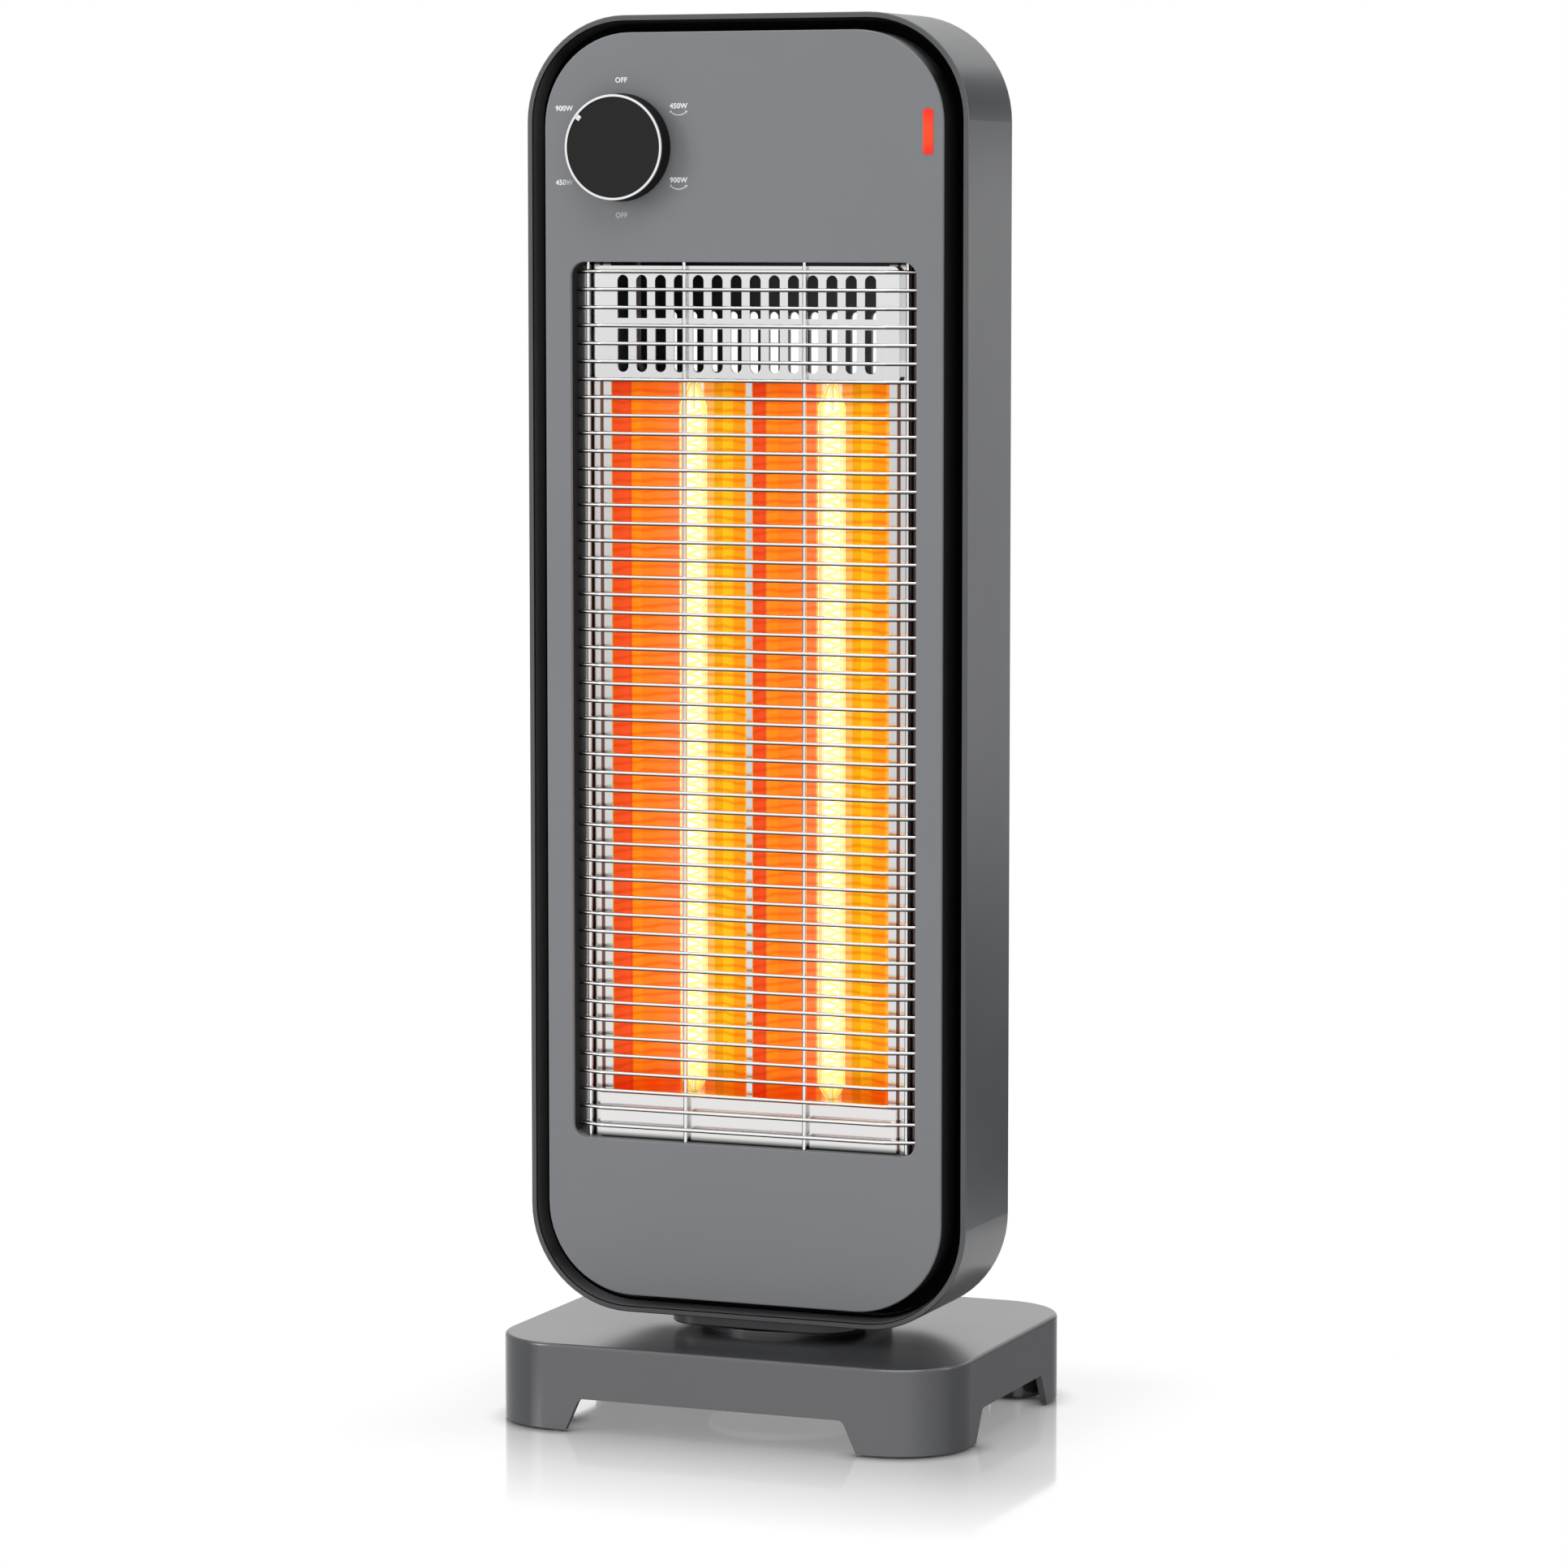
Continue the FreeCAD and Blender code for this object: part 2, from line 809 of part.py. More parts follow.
def drive_motor():
    can = upright(motor_x, 0, (motor_bottom, motor_bottom + motor_height), motor_radius)
    can = softened(can, motor_ear_thickness, in_plane("z", motor_bottom + motor_height))
    nose = upright(motor_x, 0, (motor_bottom - motor_nose_height, motor_bottom), motor_nose_radius)
    pieces = [can, nose]
    ear_range = (motor_bottom, motor_bottom + motor_ear_thickness)
    for x, y in motor_ear_places():
        pieces.append(upright(x, y, ear_range, motor_ear_radius))
    for side in (-1, 1):
        arm = block((0, motor_ear_circle_radius), (-motor_ear_radius, motor_ear_radius), ear_range)
        pieces.append(moved(turned(arm, side * motor_ear_angle), motor_x, 0, 0))
    motor = joined(pieces)
    bore_top = motor_bottom + shaft_bore_depth
    cuts = [upright(motor_x, 0, (motor_bottom - overrun, bore_top), motor_shaft_radius + run_gap)]
    for x, y in motor_ear_places():
        cuts.append(screw_hole(Vec(x, y, ear_range[1]), up_dir, motor_standoff))
    return motor.cut(cuts)


def motor_screws():
    seat = motor_bottom + motor_ear_thickness
    return group([screw(Vec(x, y, seat), up_dir, motor_standoff) for x, y in motor_ear_places()])


def motor_shaft():
    top = motor_bottom + shaft_bore_depth - moving_gap
    return upright(motor_x, 0, (pinion_bottom, top), motor_shaft_radius)


def drive_pinion():
    pinion = gear_blank(pinion_teeth, 180.0, (pinion_bottom, pinion_top))
    bore = upright(0, 0, (pinion_bottom - overrun, pinion_top + overrun), motor_shaft_radius)
    return moved(pinion.cut(bore), motor_x, 0, 0)


# Casing and rear cover
def lid_post_places():
    x = rear_half - lid_post_inset
    return [(side * x, z) for side in (-1, 1) for z in lid_post_heights]


def frame_post_places():
    x = casing_half - frame_post_inset
    return [(side * x, z) for side in (-1, 1) for z in frame_post_heights]


def casing():
    straight_back = band_back - shoulder_bevel
    outer = softened(band(0, rim_front, straight_back), rim_round, in_plane("y", rim_front))
    outlines = []
    for inset, y in ((0, straight_back), (shoulder_bevel, band_back)):
        z_range = (casing_bottom, casing_top - inset)
        outlines.append(upright_wire(casing_half - inset, z_range, casing_corner_radius - inset, y))
    shoulder = Part.makeLoft(outlines, True, True)
    tub = joined([outer, shoulder, rear_box(0, shoulder_inner, lid_seat)])
    tub = tub.cut([
        band(casing_wall, rim_front - overrun, shoulder_inner),
        rear_box(casing_wall, shoulder_inner - overrun, lid_seat + overrun),
    ])
    post_front = lid_seat - lid_post_length
    added = [tub]
    for x, z in lid_post_places():
        side = math.copysign(1, x)
        added.append(dowel(x, z, (post_front, lid_seat), lid_post_radius))
        web_end = side * (rear_half - casing_wall / 2)
        web_back = lid_seat - lid_lip_depth - moving_gap
        web_half = lid_post_radius / 2
        added.append(block((x, web_end), (post_front, web_back), (z - web_half, z + web_half)))
    for x, y in motor_ear_places():
        added.append(upright(x, y, (casing_bottom + casing_wall / 2, motor_bottom), motor_post_radius))
    low = casing_bottom - overrun
    cuts = [
        upright(0, 0, (low, floor_top + overrun), hub_radius + seat_gap),
        upright(motor_x, 0, (low, floor_top + overrun), motor_shaft_radius + shaft_hole_gap),
    ]
    for x, y in flange_screw_places():
        cuts.append(upright(x, y, (low, floor_top + overrun), screw_radius + seat_gap))
    for x, y in motor_ear_places():
        hole_bottom = motor_bottom + motor_ear_thickness - motor_standoff - seat_gap
        cuts.append(upright(x, y, (hole_bottom, motor_bottom + overrun), screw_radius + seat_gap))
    for x, z in lid_post_places():
        cuts.append(screw_hole(Vec(x, lid_seat, z), back_dir, screw_length))
    for x, z in frame_post_places():
        cuts.append(dowel(x, z, (shoulder_inner - overrun, band_back + overrun), screw_radius + seat_gap))
    return joined(added).cut(cuts)


def rear_slots(top, length):
    """Row of upright slots with round ends."""
    radius = rear_slot_width / 2
    first = -(rear_slot_count - 1) * rear_slot_pitch / 2
    y_range = (lid_seat - overrun, rear_back + overrun)
    slots = []
    for index in range(rear_slot_count):
        x = first + index * rear_slot_pitch
        slots.append(block((x - radius, x + radius), y_range, (top - length + radius, top - radius)))
        slots.append(dowel(x, top - radius, y_range, radius))
        slots.append(dowel(x, top - length + radius, y_range, radius))
    return slots


def rear_cover():
    lid = softened(rear_box(0, lid_seat, rear_back), lid_edge_round, in_plane("y", rear_back))
    lid_inner = rear_back - lid_wall
    lid = lid.cut(rear_box(lid_wall, lid_seat - overrun, lid_inner))
    lip_inset = casing_wall + seat_gap
    lip = rear_box(lip_inset, lid_seat - lid_lip_depth, lid_inner + lid_wall / 2)
    lip = lip.cut(rear_box(lip_inset + lid_lip_wall, lid_seat - lid_lip_depth - overrun, rear_back))
    grip_half = grip_width / 2
    grip_range = (grip_centre - grip_height / 2, grip_centre + grip_height / 2)
    cup = slab(grip_half, grip_range, grip_wall * 2, rear_back - grip_depth, lid_inner + lid_wall / 2)
    added = [lid, lip, cup]
    for x, z in lid_post_places():
        added.append(dowel(x, z, (lid_seat, lid_inner + lid_wall / 2), lid_post_radius))
    hand_range = (grip_range[0] + grip_wall, grip_range[1] - grip_wall)
    hand_front = rear_back - grip_depth + grip_wall
    cuts = [slab(grip_half - grip_wall, hand_range, grip_wall, hand_front, rear_back + overrun)]
    cuts += rear_slots(rear_slot_top, rear_slot_length)
    cuts += rear_slots(intake_slot_top, intake_slot_length)
    seat = rear_back - screw_head_height - seat_gap
    for x, z in lid_post_places():
        cuts.append(dowel(x, z, (seat, rear_back + overrun), screw_head_radius + seat_gap))
        cuts.append(dowel(x, z, (lid_seat - overrun, rear_back), screw_radius + seat_gap))
    cuts.append(dowel(gland_x, gland_z, (lid_seat - overrun, rear_back + overrun), gland_radius + seat_gap))
    return joined(added).cut(cuts)


def rear_cover_screws():
    seat = rear_back - screw_head_height - seat_gap
    return group([screw(Vec(x, seat, z), back_dir, screw_length) for x, z in lid_post_places()])


# Front frame, panel and guard
def sheet_screw_places():
    return [(side * sheet_screw_x, z) for side in (-1, 1) for z in sheet_screw_heights]


def guard_upright_places():
    """Across and depth of the four upright wires, just behind the rods."""
    spacing = rod_radius + upright_radius + touch_gap
    tilt = math.hypot(1, rod_end_slope)
    outer_y = rod_front + (outer_upright_x - rod_flat) * rod_end_slope + spacing * tilt
    inner_y = rod_front + spacing
    places = []
    for side in (-1, 1):
        places.append((side * inner_upright_x, inner_y))
        places.append((side * outer_upright_x, outer_y))
    return places


def front_frame():
    draft = (lip_back_inset - lip_front_inset) / (ledge_front - lip_front)
    start = lip_front - overrun
    start_inset = lip_front_inset - draft * overrun
    mouths = []
    for inset, y in ((start_inset, start), (lip_back_inset, ledge_front)):
        z_range = (casing_bottom + inset, casing_top - inset)
        mouths.append(upright_wire(casing_half - inset, z_range, casing_corner_radius - inset, y))
    tray = band(casing_wall + seat_gap, lip_front, frame_back)
    tray = tray.cut([
        Part.makeLoft(mouths, True, True),
        band(ledge_inset, ledge_front - overrun, channel_floor),
    ])
    added = [
        tray,
        panel_block(frame_margin, panel_back, frame_back),
    ]
    frame = joined(added)
    frame = frame.cut(panel_block(frame_margin + frame_wall, plate_back, frame_back + overrun))
    added = [frame, window_block(liner_wall, panel_back, liner_back)]
    for x, z in sheet_screw_places():
        added.append(dowel(x, z, (panel_back + frame_wall / 2, liner_back), sheet_boss_radius))
    for x, z in frame_post_places():
        added.append(dowel(x, z, (channel_floor + touch_gap, shoulder_inner), frame_post_radius))
    cuts = [
        window_block(0, panel_front - overrun, liner_back + overrun),
        dowel(knob_x, knob_z, (panel_front, frame_back), switch_bush_radius + seat_gap),
        lens_block(seat_gap, panel_front - overrun, plate_back + overrun),
    ]
    for x, y in guard_upright_places():
        hole_range = (window_bottom - upright_hole_depth, window_top + upright_hole_depth)
        cuts.append(upright(x, y, hole_range, upright_radius + seat_gap))
    for x, z in sheet_screw_places():
        cuts.append(screw_hole(Vec(x, liner_back, z), back_dir, -plate_back + liner_back))
    for x, z in frame_post_places():
        cuts.append(screw_hole(Vec(x, band_back, z), back_dir, screw_length))
    return joined(added).cut(cuts)


def frame_screws():
    return group([screw(Vec(x, band_back, z), back_dir, screw_length) for x, z in frame_post_places()])


def front_panel():
    panel = panel_block(0, panel_front, panel_back)
    panel = panel.cut([
        window_block(0, panel_front - overrun, panel_back + overrun),
        dowel(knob_x, knob_z, (panel_front - overrun, panel_back + overrun), switch_bush_radius + seat_gap),
        lens_block(seat_gap, panel_front - overrun, panel_back + overrun),
    ])
    at_front = in_plane("y", panel_front)
    tall = lambda edge: edge.BoundBox.ZLength > lens_height
    return softened(panel, panel_edge_round, lambda edge: at_front(edge) and tall(edge))


def guard_rods():
    end_x = window_half - rod_end_gap
    end_y = rod_front + (end_x - rod_flat) * rod_end_slope
    points = [
        Vec(-end_x, end_y, rod_first),
        Vec(-rod_flat, rod_front, rod_first),
        Vec(rod_flat, rod_front, rod_first),
        Vec(end_x, end_y, rod_first),
    ]
    wire = bent_rod(points, rod_bend_radius, rod_radius)
    return group([moved(wire, 0, 0, index * rod_pitch) for index in range(rod_count)])


def guard_uprights():
    z_range = (window_bottom - upright_hole_depth + seat_gap, window_top + upright_hole_depth - seat_gap)
    return group([upright(x, y, z_range, upright_radius) for x, y in guard_upright_places()])


# Reflector and plates
def tube_places():
    return (-tube_x, tube_x)


def vent_slots():
    """Two rows of slots, round at the outer ends and square where they face each other."""
    radius = vent_slot_width / 2
    y_range = (vent_front - overrun, vent_front + overrun)
    first = -(vent_slot_count - 1) * vent_slot_pitch / 2
    cuts = []
    for index in range(vent_slot_count):
        x = first + index * vent_slot_pitch
        x_range = (x - radius, x + radius)
        cuts.append(block(x_range, y_range, (upper_slot_bottom, upper_slot_top - radius)))
        cuts.append(dowel(x, upper_slot_top - radius, y_range, radius))
        cuts.append(block(x_range, y_range, (lower_slot_bottom + radius, lower_slot_top)))
        cuts.append(dowel(x, lower_slot_bottom + radius, y_range, radius))
    return cuts


def tube_holes(z_range, radius):
    return [upright(x, tube_y, z_range, radius) for x in tube_places()]


def plate_returns(width, y_front, z_range):
    """Folded side edges that bring a plate back to the reflector."""
    half = width / 2
    y_range = (y_front, reflector_front)
    return [block((side * half, side * (half - plate_sheet)), y_range, z_range) for side in (-1, 1)]


def vent_plate():
    vent_back = vent_front + plate_sheet
    front = slab(vent_width / 2, (vent_bottom, vent_top), vent_corner_radius, vent_front, vent_back)
    front = front.cut(vent_slots())
    straight = (vent_bottom + vent_corner_radius, vent_top - vent_corner_radius)
    shelf = block((-return_half, return_half), (vent_front, shield_front), (vent_bottom, bush_seat))
    plate = joined([front, shelf] + plate_returns(vent_width, vent_front, straight))
    return plate.cut(tube_holes((vent_bottom - overrun, bush_seat + overrun), stem_radius + seat_gap))


def lower_plate():
    back = lower_front + plate_sheet
    half = lower_width / 2
    bottom = window_bottom + plate_side_gap
    front = block((-half, half), (lower_front, back), (bottom, lower_top))
    shelf_bottom = lower_top - plate_sheet
    shelf = block((-return_half, return_half), (lower_front, shield_front), (shelf_bottom, lower_top))
    plate = joined([front, shelf] + plate_returns(lower_width, lower_front, (bottom, lower_top)))
    return plate.cut(tube_holes((shelf_bottom - overrun, lower_top + overrun), stem_radius + seat_gap))


def offset_line(points, thickness):
    """Open line shifted sideways by a sheet's thickness, with mitred corners."""
    normals = []
    for (x0, y0), (x1, y1) in zip(points, points[1:]):
        length = math.hypot(x1 - x0, y1 - y0)
        normals.append(((y1 - y0) / length, (x0 - x1) / length))
    normals = normals[:1] + normals + normals[-1:]
    shifted = []
    for (x, y), (ax, ay), (bx, by) in zip(points, normals, normals[1:]):
        scale = thickness / (1 + ax * bx + ay * by)
        shifted.append((x + (ax + bx) * scale, y + (ay + by) * scale))
    return shifted


def reflector():
    """One folded sheet: flange, trough, ridge, trough, flange."""
    half_ridge = ridge_width / 2
    half_trough = (reflector_opening / 2 - half_ridge) / 2
    centre = half_ridge + half_trough
    side = [(across * half_trough, depth * trough_depth) for across, depth in trough_shares]
    right = [(centre + x, reflector_front + y) for x, y in side]
    right += [(centre - x, reflector_front + y) for x, y in side[::-1]]
    left = [(-x, y) for x, y in right[::-1]]
    front = [(reflector_flange, reflector_front)] + right + left + [(-reflector_flange, reflector_front)]
    outline = front + offset_line(front, sheet)[::-1]
    points = [Vec(x, y, reflector_bottom) for x, y in outline]
    face = Part.Face(Part.makePolygon(points + points[:1]))
    folded = face.extrude(Vec(0, 0, reflector_flange_top - reflector_bottom))
    half_cut = reflector_opening / 2
    depth_range = (reflector_front - overrun, reflector_front + trough_depth + overrun)
    cuts = [
        block((-half_cut, half_cut), depth_range, (vent_bottom, reflector_flange_top + overrun)),
        block((-half_cut, half_cut), depth_range, (reflector_bottom - overrun, lower_top)),
    ]
    hole_range = (reflector_front - overrun, reflector_back + overrun)
    for x, z in sheet_screw_places():
        cuts.append(dowel(x, z, hole_range, screw_radius + seat_gap))
    return folded.cut(cuts)


def heat_shield():
    half = shield_width / 2
    z_range = (reflector_bottom, bush_seat)
    pieces = [
        block((-half, half), (shield_front, shield_back), z_range),
        block((-half, half), (reflector_back, shield_back), (reflector_bottom, holder_seat)),
    ]
    for side in (-1, 1):
        pieces.append(block((side * half, side * (half - sheet)), (reflector_back, shield_back), z_range))
        flange_range = (side * (half - sheet), side * reflector_flange)
        pieces.append(block(flange_range, (reflector_back, shield_flange_back), z_range))
    cuts = tube_holes((reflector_bottom - overrun, holder_seat + overrun), stem_radius)
    hole_range = (reflector_back - overrun, shield_flange_back + overrun)
    for x, z in sheet_screw_places():
        cuts.append(dowel(x, z, hole_range, screw_radius + seat_gap))
    return joined(pieces).cut(cuts)


def reflector_screws():
    length = shield_flange_back - liner_back + screw_head_height
    return group([screw(Vec(x, shield_flange_back, z), back_dir, length) for x, z in sheet_screw_places()])


# Tubes
stem_low = holder_seat + holder_floor
stem_high = bush_seat + bush_height
filament_low = tube_low + filament_end
filament_high = tube_high - filament_end


def tube_envelope(radius, neck_radius, low, high):
    """Straight tube with a cone and a narrow neck at each end, round the Z axis."""
    return joined([
        upright(0, 0, (tube_low, tube_high), radius),
        Part.makeCone(radius, neck_radius, tube_head_taper, Vec(0, 0, tube_high), up_dir),
        Part.makeCone(radius, neck_radius, tube_foot_taper, Vec(0, 0, tube_low), down_dir),
        upright(0, 0, (low, tube_low - tube_foot_taper), neck_radius),
        upright(0, 0, (tube_high + tube_head_taper, high), neck_radius),
    ])


def tube_glass():
    outer = tube_envelope(tube_radius, stem_radius, stem_low, stem_high)
    bore = rod_wire_radius + touch_gap
    return outer.cut(tube_envelope(tube_radius - tube_wall, bore, stem_low - overrun, stem_high + overrun))


def biarc(start, start_dir, end, end_dir):
    """Two tangent arcs from one point and direction to another."""
    span = end - start
    both = start_dir + end_dir
    bend = 2 * (1 - start_dir.dot(end_dir))
    along = span.dot(both)
    reach = (math.sqrt(along ** 2 + bend * span.dot(span)) - along) / bend
    first = start + start_dir * reach
    last = end - end_dir * reach
    joint = (first + last) * 0.5
    arcs = []
    for begin, corner, finish in ((start, first, joint), (joint, last, end)):
        half_chord = (finish - begin).Length / 2
        middle = (begin + finish) * 0.5
        middle = middle + (corner - middle) * (half_chord / (half_chord + reach))
        arcs.append(Part.Arc(begin, middle, finish).toShape())
    return arcs


def filament():
    """Coiled carbon wire with a straight lead at each end, round the Z axis."""
    run = filament_high - filament_low - 2 * (filament_lead + filament_radius)
    pitch = run / filament_turns
    rise = pitch / (2 * math.pi)
    length = math.hypot(filament_radius, rise)
    coil_low = filament_low + filament_lead + filament_radius
    steps = 2 * filament_turns
    marks = []
    for step in range(steps + 1):
        angle = math.pi * step
        across = filament_radius * math.cos(angle)
        deep = filament_radius * math.sin(angle)
        heading = Vec(-deep, across, rise) / length
        marks.append((Vec(across, deep, coil_low + rise * angle), heading))
    foot = Vec(0, 0, filament_low)
    head = Vec(0, 0, filament_high)
    marks.insert(0, (foot + up_dir * filament_lead, up_dir))
    marks.append((head - up_dir * filament_lead, up_dir))
    edges = [Part.LineSegment(foot, marks[0][0]).toShape()]
    for (start, start_dir), (end, end_dir) in zip(marks, marks[1:]):
        edges += biarc(start, start_dir, end, end_dir)
    edges.append(Part.LineSegment(marks[-1][0], head).toShape())
    path = Part.Wire(edges)
    circle = Part.Wire(Part.makeCircle(filament_wire, foot, up_dir))
    print("filament least self-gap", round(least_gap(path), 2), "mm")
    return path.makePipeShell([circle], True, False)


def least_gap(path):
    """Least distance between points of the coil that are at least half a turn apart."""
    points = []
    for edge in path.Edges:
        points += edge.discretize(4)[:-1]
    half_turn = 12
    nearest = min(
        (points[index] - other).Length
        for index in range(len(points))
        for other in points[index + half_turn:index + 6 * half_turn]
    )
    return nearest - 2 * filament_wire


def tube_stems(x):
    lower = upright(x, tube_y, (reflector_bottom, filament_low), rod_wire_radius)
    upper = upright(x, tube_y, (filament_high, stem_high), rod_wire_radius)
    return group([lower, upper])


def upper_tube_bushes():
    bore = tube_holes((bush_seat - overrun, stem_high + overrun), stem_radius + touch_gap)
    return group([
        upright(x, tube_y, (bush_seat, bush_seat + bush_height), bush_radius).cut(bore) for x in tube_places()
    ])


def lower_tube_holders():
    holders = []
    for x in tube_places():
        holder = upright(x, tube_y, (holder_seat, holder_seat + holder_height), holder_radius)
        holder = softened(holder, touch_gap * 10, in_plane("z", holder_seat + holder_height))
        wide = upright(x, tube_y, (stem_low, stem_low + holder_height), stem_radius + touch_gap)
        narrow = upright(x, tube_y, (holder_seat - overrun, stem_low), rod_wire_radius + touch_gap)
        holders.append(holder.cut([wide, narrow]))
    return group(holders)


# Knob, switch and lamp
def pointer_bar(depth_range, grow):
    inner = knob_ring_radius - knob_ring_width - pointer_length - grow
    outer = knob_ring_radius - knob_ring_width - touch_gap + grow
    half = pointer_width / 2 + grow
    bar = block((inner, outer), depth_range, (-half, half))
    bar.rotate(axis_point, front_dir, pointer_angle)
    return moved(bar, knob_x, 0, knob_z)


def knob_body():
    face_radius = knob_ring_radius - knob_ring_width - touch_gap
    ring_back = knob_front + knob_ring_depth
    place = Vec(knob_x, knob_back, knob_z)
    skirt_depth = knob_back - ring_back
    skirt = Part.makeCone(knob_base_radius, knob_ring_radius, skirt_depth, place, front_dir)
    face = dowel(knob_x, knob_z, (knob_face, ring_back + touch_gap), face_radius)
    cavity_front = knob_face + knob_wall
    cavity = dowel(knob_x, knob_z, (cavity_front, knob_back + overrun), face_radius - knob_wall)
    hub_back = switch_bush_front - knob_hub_gap
    hub = dowel(knob_x, knob_z, (knob_face + knob_wall / 2, hub_back), knob_hub_radius)
    knob = joined([skirt.fuse(face).cut(cavity), hub])
    shaft_front = knob_face + knob_shaft_depth
    return knob.cut([
        dowel(knob_x, knob_z, (shaft_front, knob_back + overrun), shaft_radius),
        pointer_bar((knob_face - overrun, knob_face + pointer_sink), touch_gap),
    ])


def knob_ring():
    ring_back = knob_front + knob_ring_depth
    outer = dowel(knob_x, knob_z, (knob_front, ring_back), knob_ring_radius)
    inner_radius = knob_ring_radius - knob_ring_width
    inner = dowel(knob_x, knob_z, (knob_front - overrun, ring_back + overrun), inner_radius)
    return outer.cut(inner)


def knob_pointer():
    back = knob_face + pointer_sink
    return pointer_bar((back - pointer_depth, back), 0)


def switch_shaft():
    return dowel(knob_x, knob_z, (knob_face + knob_shaft_depth, shaft_back), shaft_radius)


def rotary_switch():
    half = switch_height / 2
    body = slab(switch_width / 2, (-half, half), switch_corner_radius, plate_back, switch_back)
    bush = dowel(0, 0, (switch_bush_front, plate_back), switch_bush_radius)
    body = body.fuse(bush).removeSplitter()
    bore = dowel(0, 0, (switch_bush_front - overrun, shaft_back + moving_gap), shaft_radius + run_gap)
    return moved(body.cut(bore), knob_x, 0, knob_z)


def switch_nut():
    nut_front = panel_front - nut_thickness
    points = [polar(nut_radius, angle) for angle in even_angles(6)]
    corners = [Vec(knob_x + a, panel_front, knob_z + b) for a, b in points]
    nut = Part.Face(Part.makePolygon(corners + corners[:1])).extrude(front_dir * nut_thickness)
    hole_range = (nut_front - overrun, panel_front + overrun)
    return nut.cut(dowel(knob_x, knob_z, hole_range, switch_bush_radius + touch_gap))


def indicator_lens():
    bar = lens_block(0, panel_front - lens_proud, plate_back)
    flange = lens_block(lens_flange, plate_back, plate_back + lens_flange_thickness)
    front = panel_front - lens_proud
    bar = softened(bar, lens_proud / 2, in_plane("y", front))
    return bar.fuse(flange).removeSplitter()


def indicator_lamp():
    y = plate_back + lens_flange_thickness + bulb_radius
    half = bulb_length / 2
    bulb = upright(lamp_x, y, (lamp_z - half, lamp_z + half), bulb_radius)
    return softened(bulb, bulb_radius / 2, lambda edge: edge.BoundBox.ZLength < same_place)


# Wiring, safety switch and inlet
def thermal_cutout():
    y_flange = shield_back + cutout_flange_thickness
    z_range = (cutout_z - cutout_radius, cutout_z + cutout_radius)
    flange = block((-cutout_flange, cutout_flange), (shield_back, y_flange), z_range)
    can = dowel(0, cutout_z, (shield_back, shield_back + cutout_height), cutout_radius)
    return flange.fuse(can).removeSplitter()


def block_hole_places():
    step = block_width / block_hole_count
    first = -(block_hole_count - 1) * step / 2
    return [first + index * step for index in range(block_hole_count)]


def terminal_block():
    """Screwed to the back of the heat shield, with an upright hole for each lead."""
    half_x = block_width / 2
    z_range = (block_z, block_z + block_height)
    body = block((-half_x, half_x), (shield_back, shield_back + block_depth), z_range)
    cuts = []
    for x in block_hole_places():
        cuts.append(upright(x, block_hole_y, (block_z - overrun, z_range[1] + overrun), block_hole_radius))
    return body.cut(cuts)


def cord_gland():
    y_range = (lid_seat - gland_inner_length, rear_back)
    body = dowel(gland_x, gland_z, y_range, gland_radius)
    flange_range = (rear_back, rear_back + gland_flange_thickness)
    flange = dowel(gland_x, gland_z, flange_range, gland_flange_radius)
    flange = softened(flange, gland_flange_thickness / 2, in_plane("y", flange_range[1]))
    bore = dowel(gland_x, gland_z, (y_range[0] - overrun, flange_range[1] + overrun), gland_bore_radius)
    return body.fuse(flange).removeSplitter().cut(bore)


tip_front = tip_y - tip_gap / 2
tip_back = tip_y + tip_gap / 2
tip_pivot_z = floor_top + tip_pivot_height
tip_head_z = tip_pivot_z + tip_eye_radius


def tip_bracket():
    """Folded steel stand with a front and a back cheek."""
    x_range = (tip_x - tip_width / 2, tip_x + tip_width / 2)
    y_range = (tip_front - tip_plate, tip_back + tip_plate)
    top = floor_top + tip_height
    cheek_top = tip_pivot_z + tip_eye_radius
    pieces = [
        block(x_range, y_range, (floor_top, floor_top + tip_plate)),
        block(x_range, (tip_front - tip_plate, tip_front), (floor_top, cheek_top)),
        block(x_range, (tip_back, tip_back + tip_plate), (floor_top, top)),
    ]
    hole = dowel(tip_x, tip_pivot_z, (y_range[0] - overrun, y_range[1] + overrun), tip_pin_radius)
    return joined(pieces).cut(hole)


def tip_pivot():
    return dowel(tip_x, tip_pivot_z, (tip_front - tip_plate, tip_back + tip_plate), tip_pin_radius)


def tip_weight():
    """Pendulum: an eye on the pivot, an arm and a round weight."""
    eye_range = (tip_y - tip_eye_width / 2, tip_y + tip_eye_width / 2)
    eye = dowel(tip_x, tip_pivot_z, eye_range, tip_eye_radius)
    arm_bottom = tip_pivot_z - tip_eye_radius - tip_arm_length
    arm = upright(tip_x, tip_y, (arm_bottom, tip_pivot_z), tip_arm_radius)
    weight = upright(tip_x, tip_y, (arm_bottom - tip_weight_length, arm_bottom), tip_weight_radius)
    weight = softened(weight, tip_arm_radius / 2, lambda edge: edge.BoundBox.ZLength < same_place)
    hole = dowel(tip_x, tip_pivot_z, (tip_front, tip_back), tip_pin_radius + run_gap)
    return joined([eye, arm, weight]).cut(hole)


def tip_microswitch():
    """Switch body on the back cheek, with its button over the pendulum's eye."""
    half = tip_switch_width / 2
    low = tip_head_z + tip_lift
    y_range = (tip_back - tip_switch_depth, tip_back)
    body = block((tip_x - half, tip_x + half), y_range, (low, low + tip_switch_height))
    button_y = tip_back - tip_switch_depth / 2
    button = upright(tip_x, button_y, (tip_head_z + moving_gap, low), tip_button_radius)
    return body.fuse(button).removeSplitter()


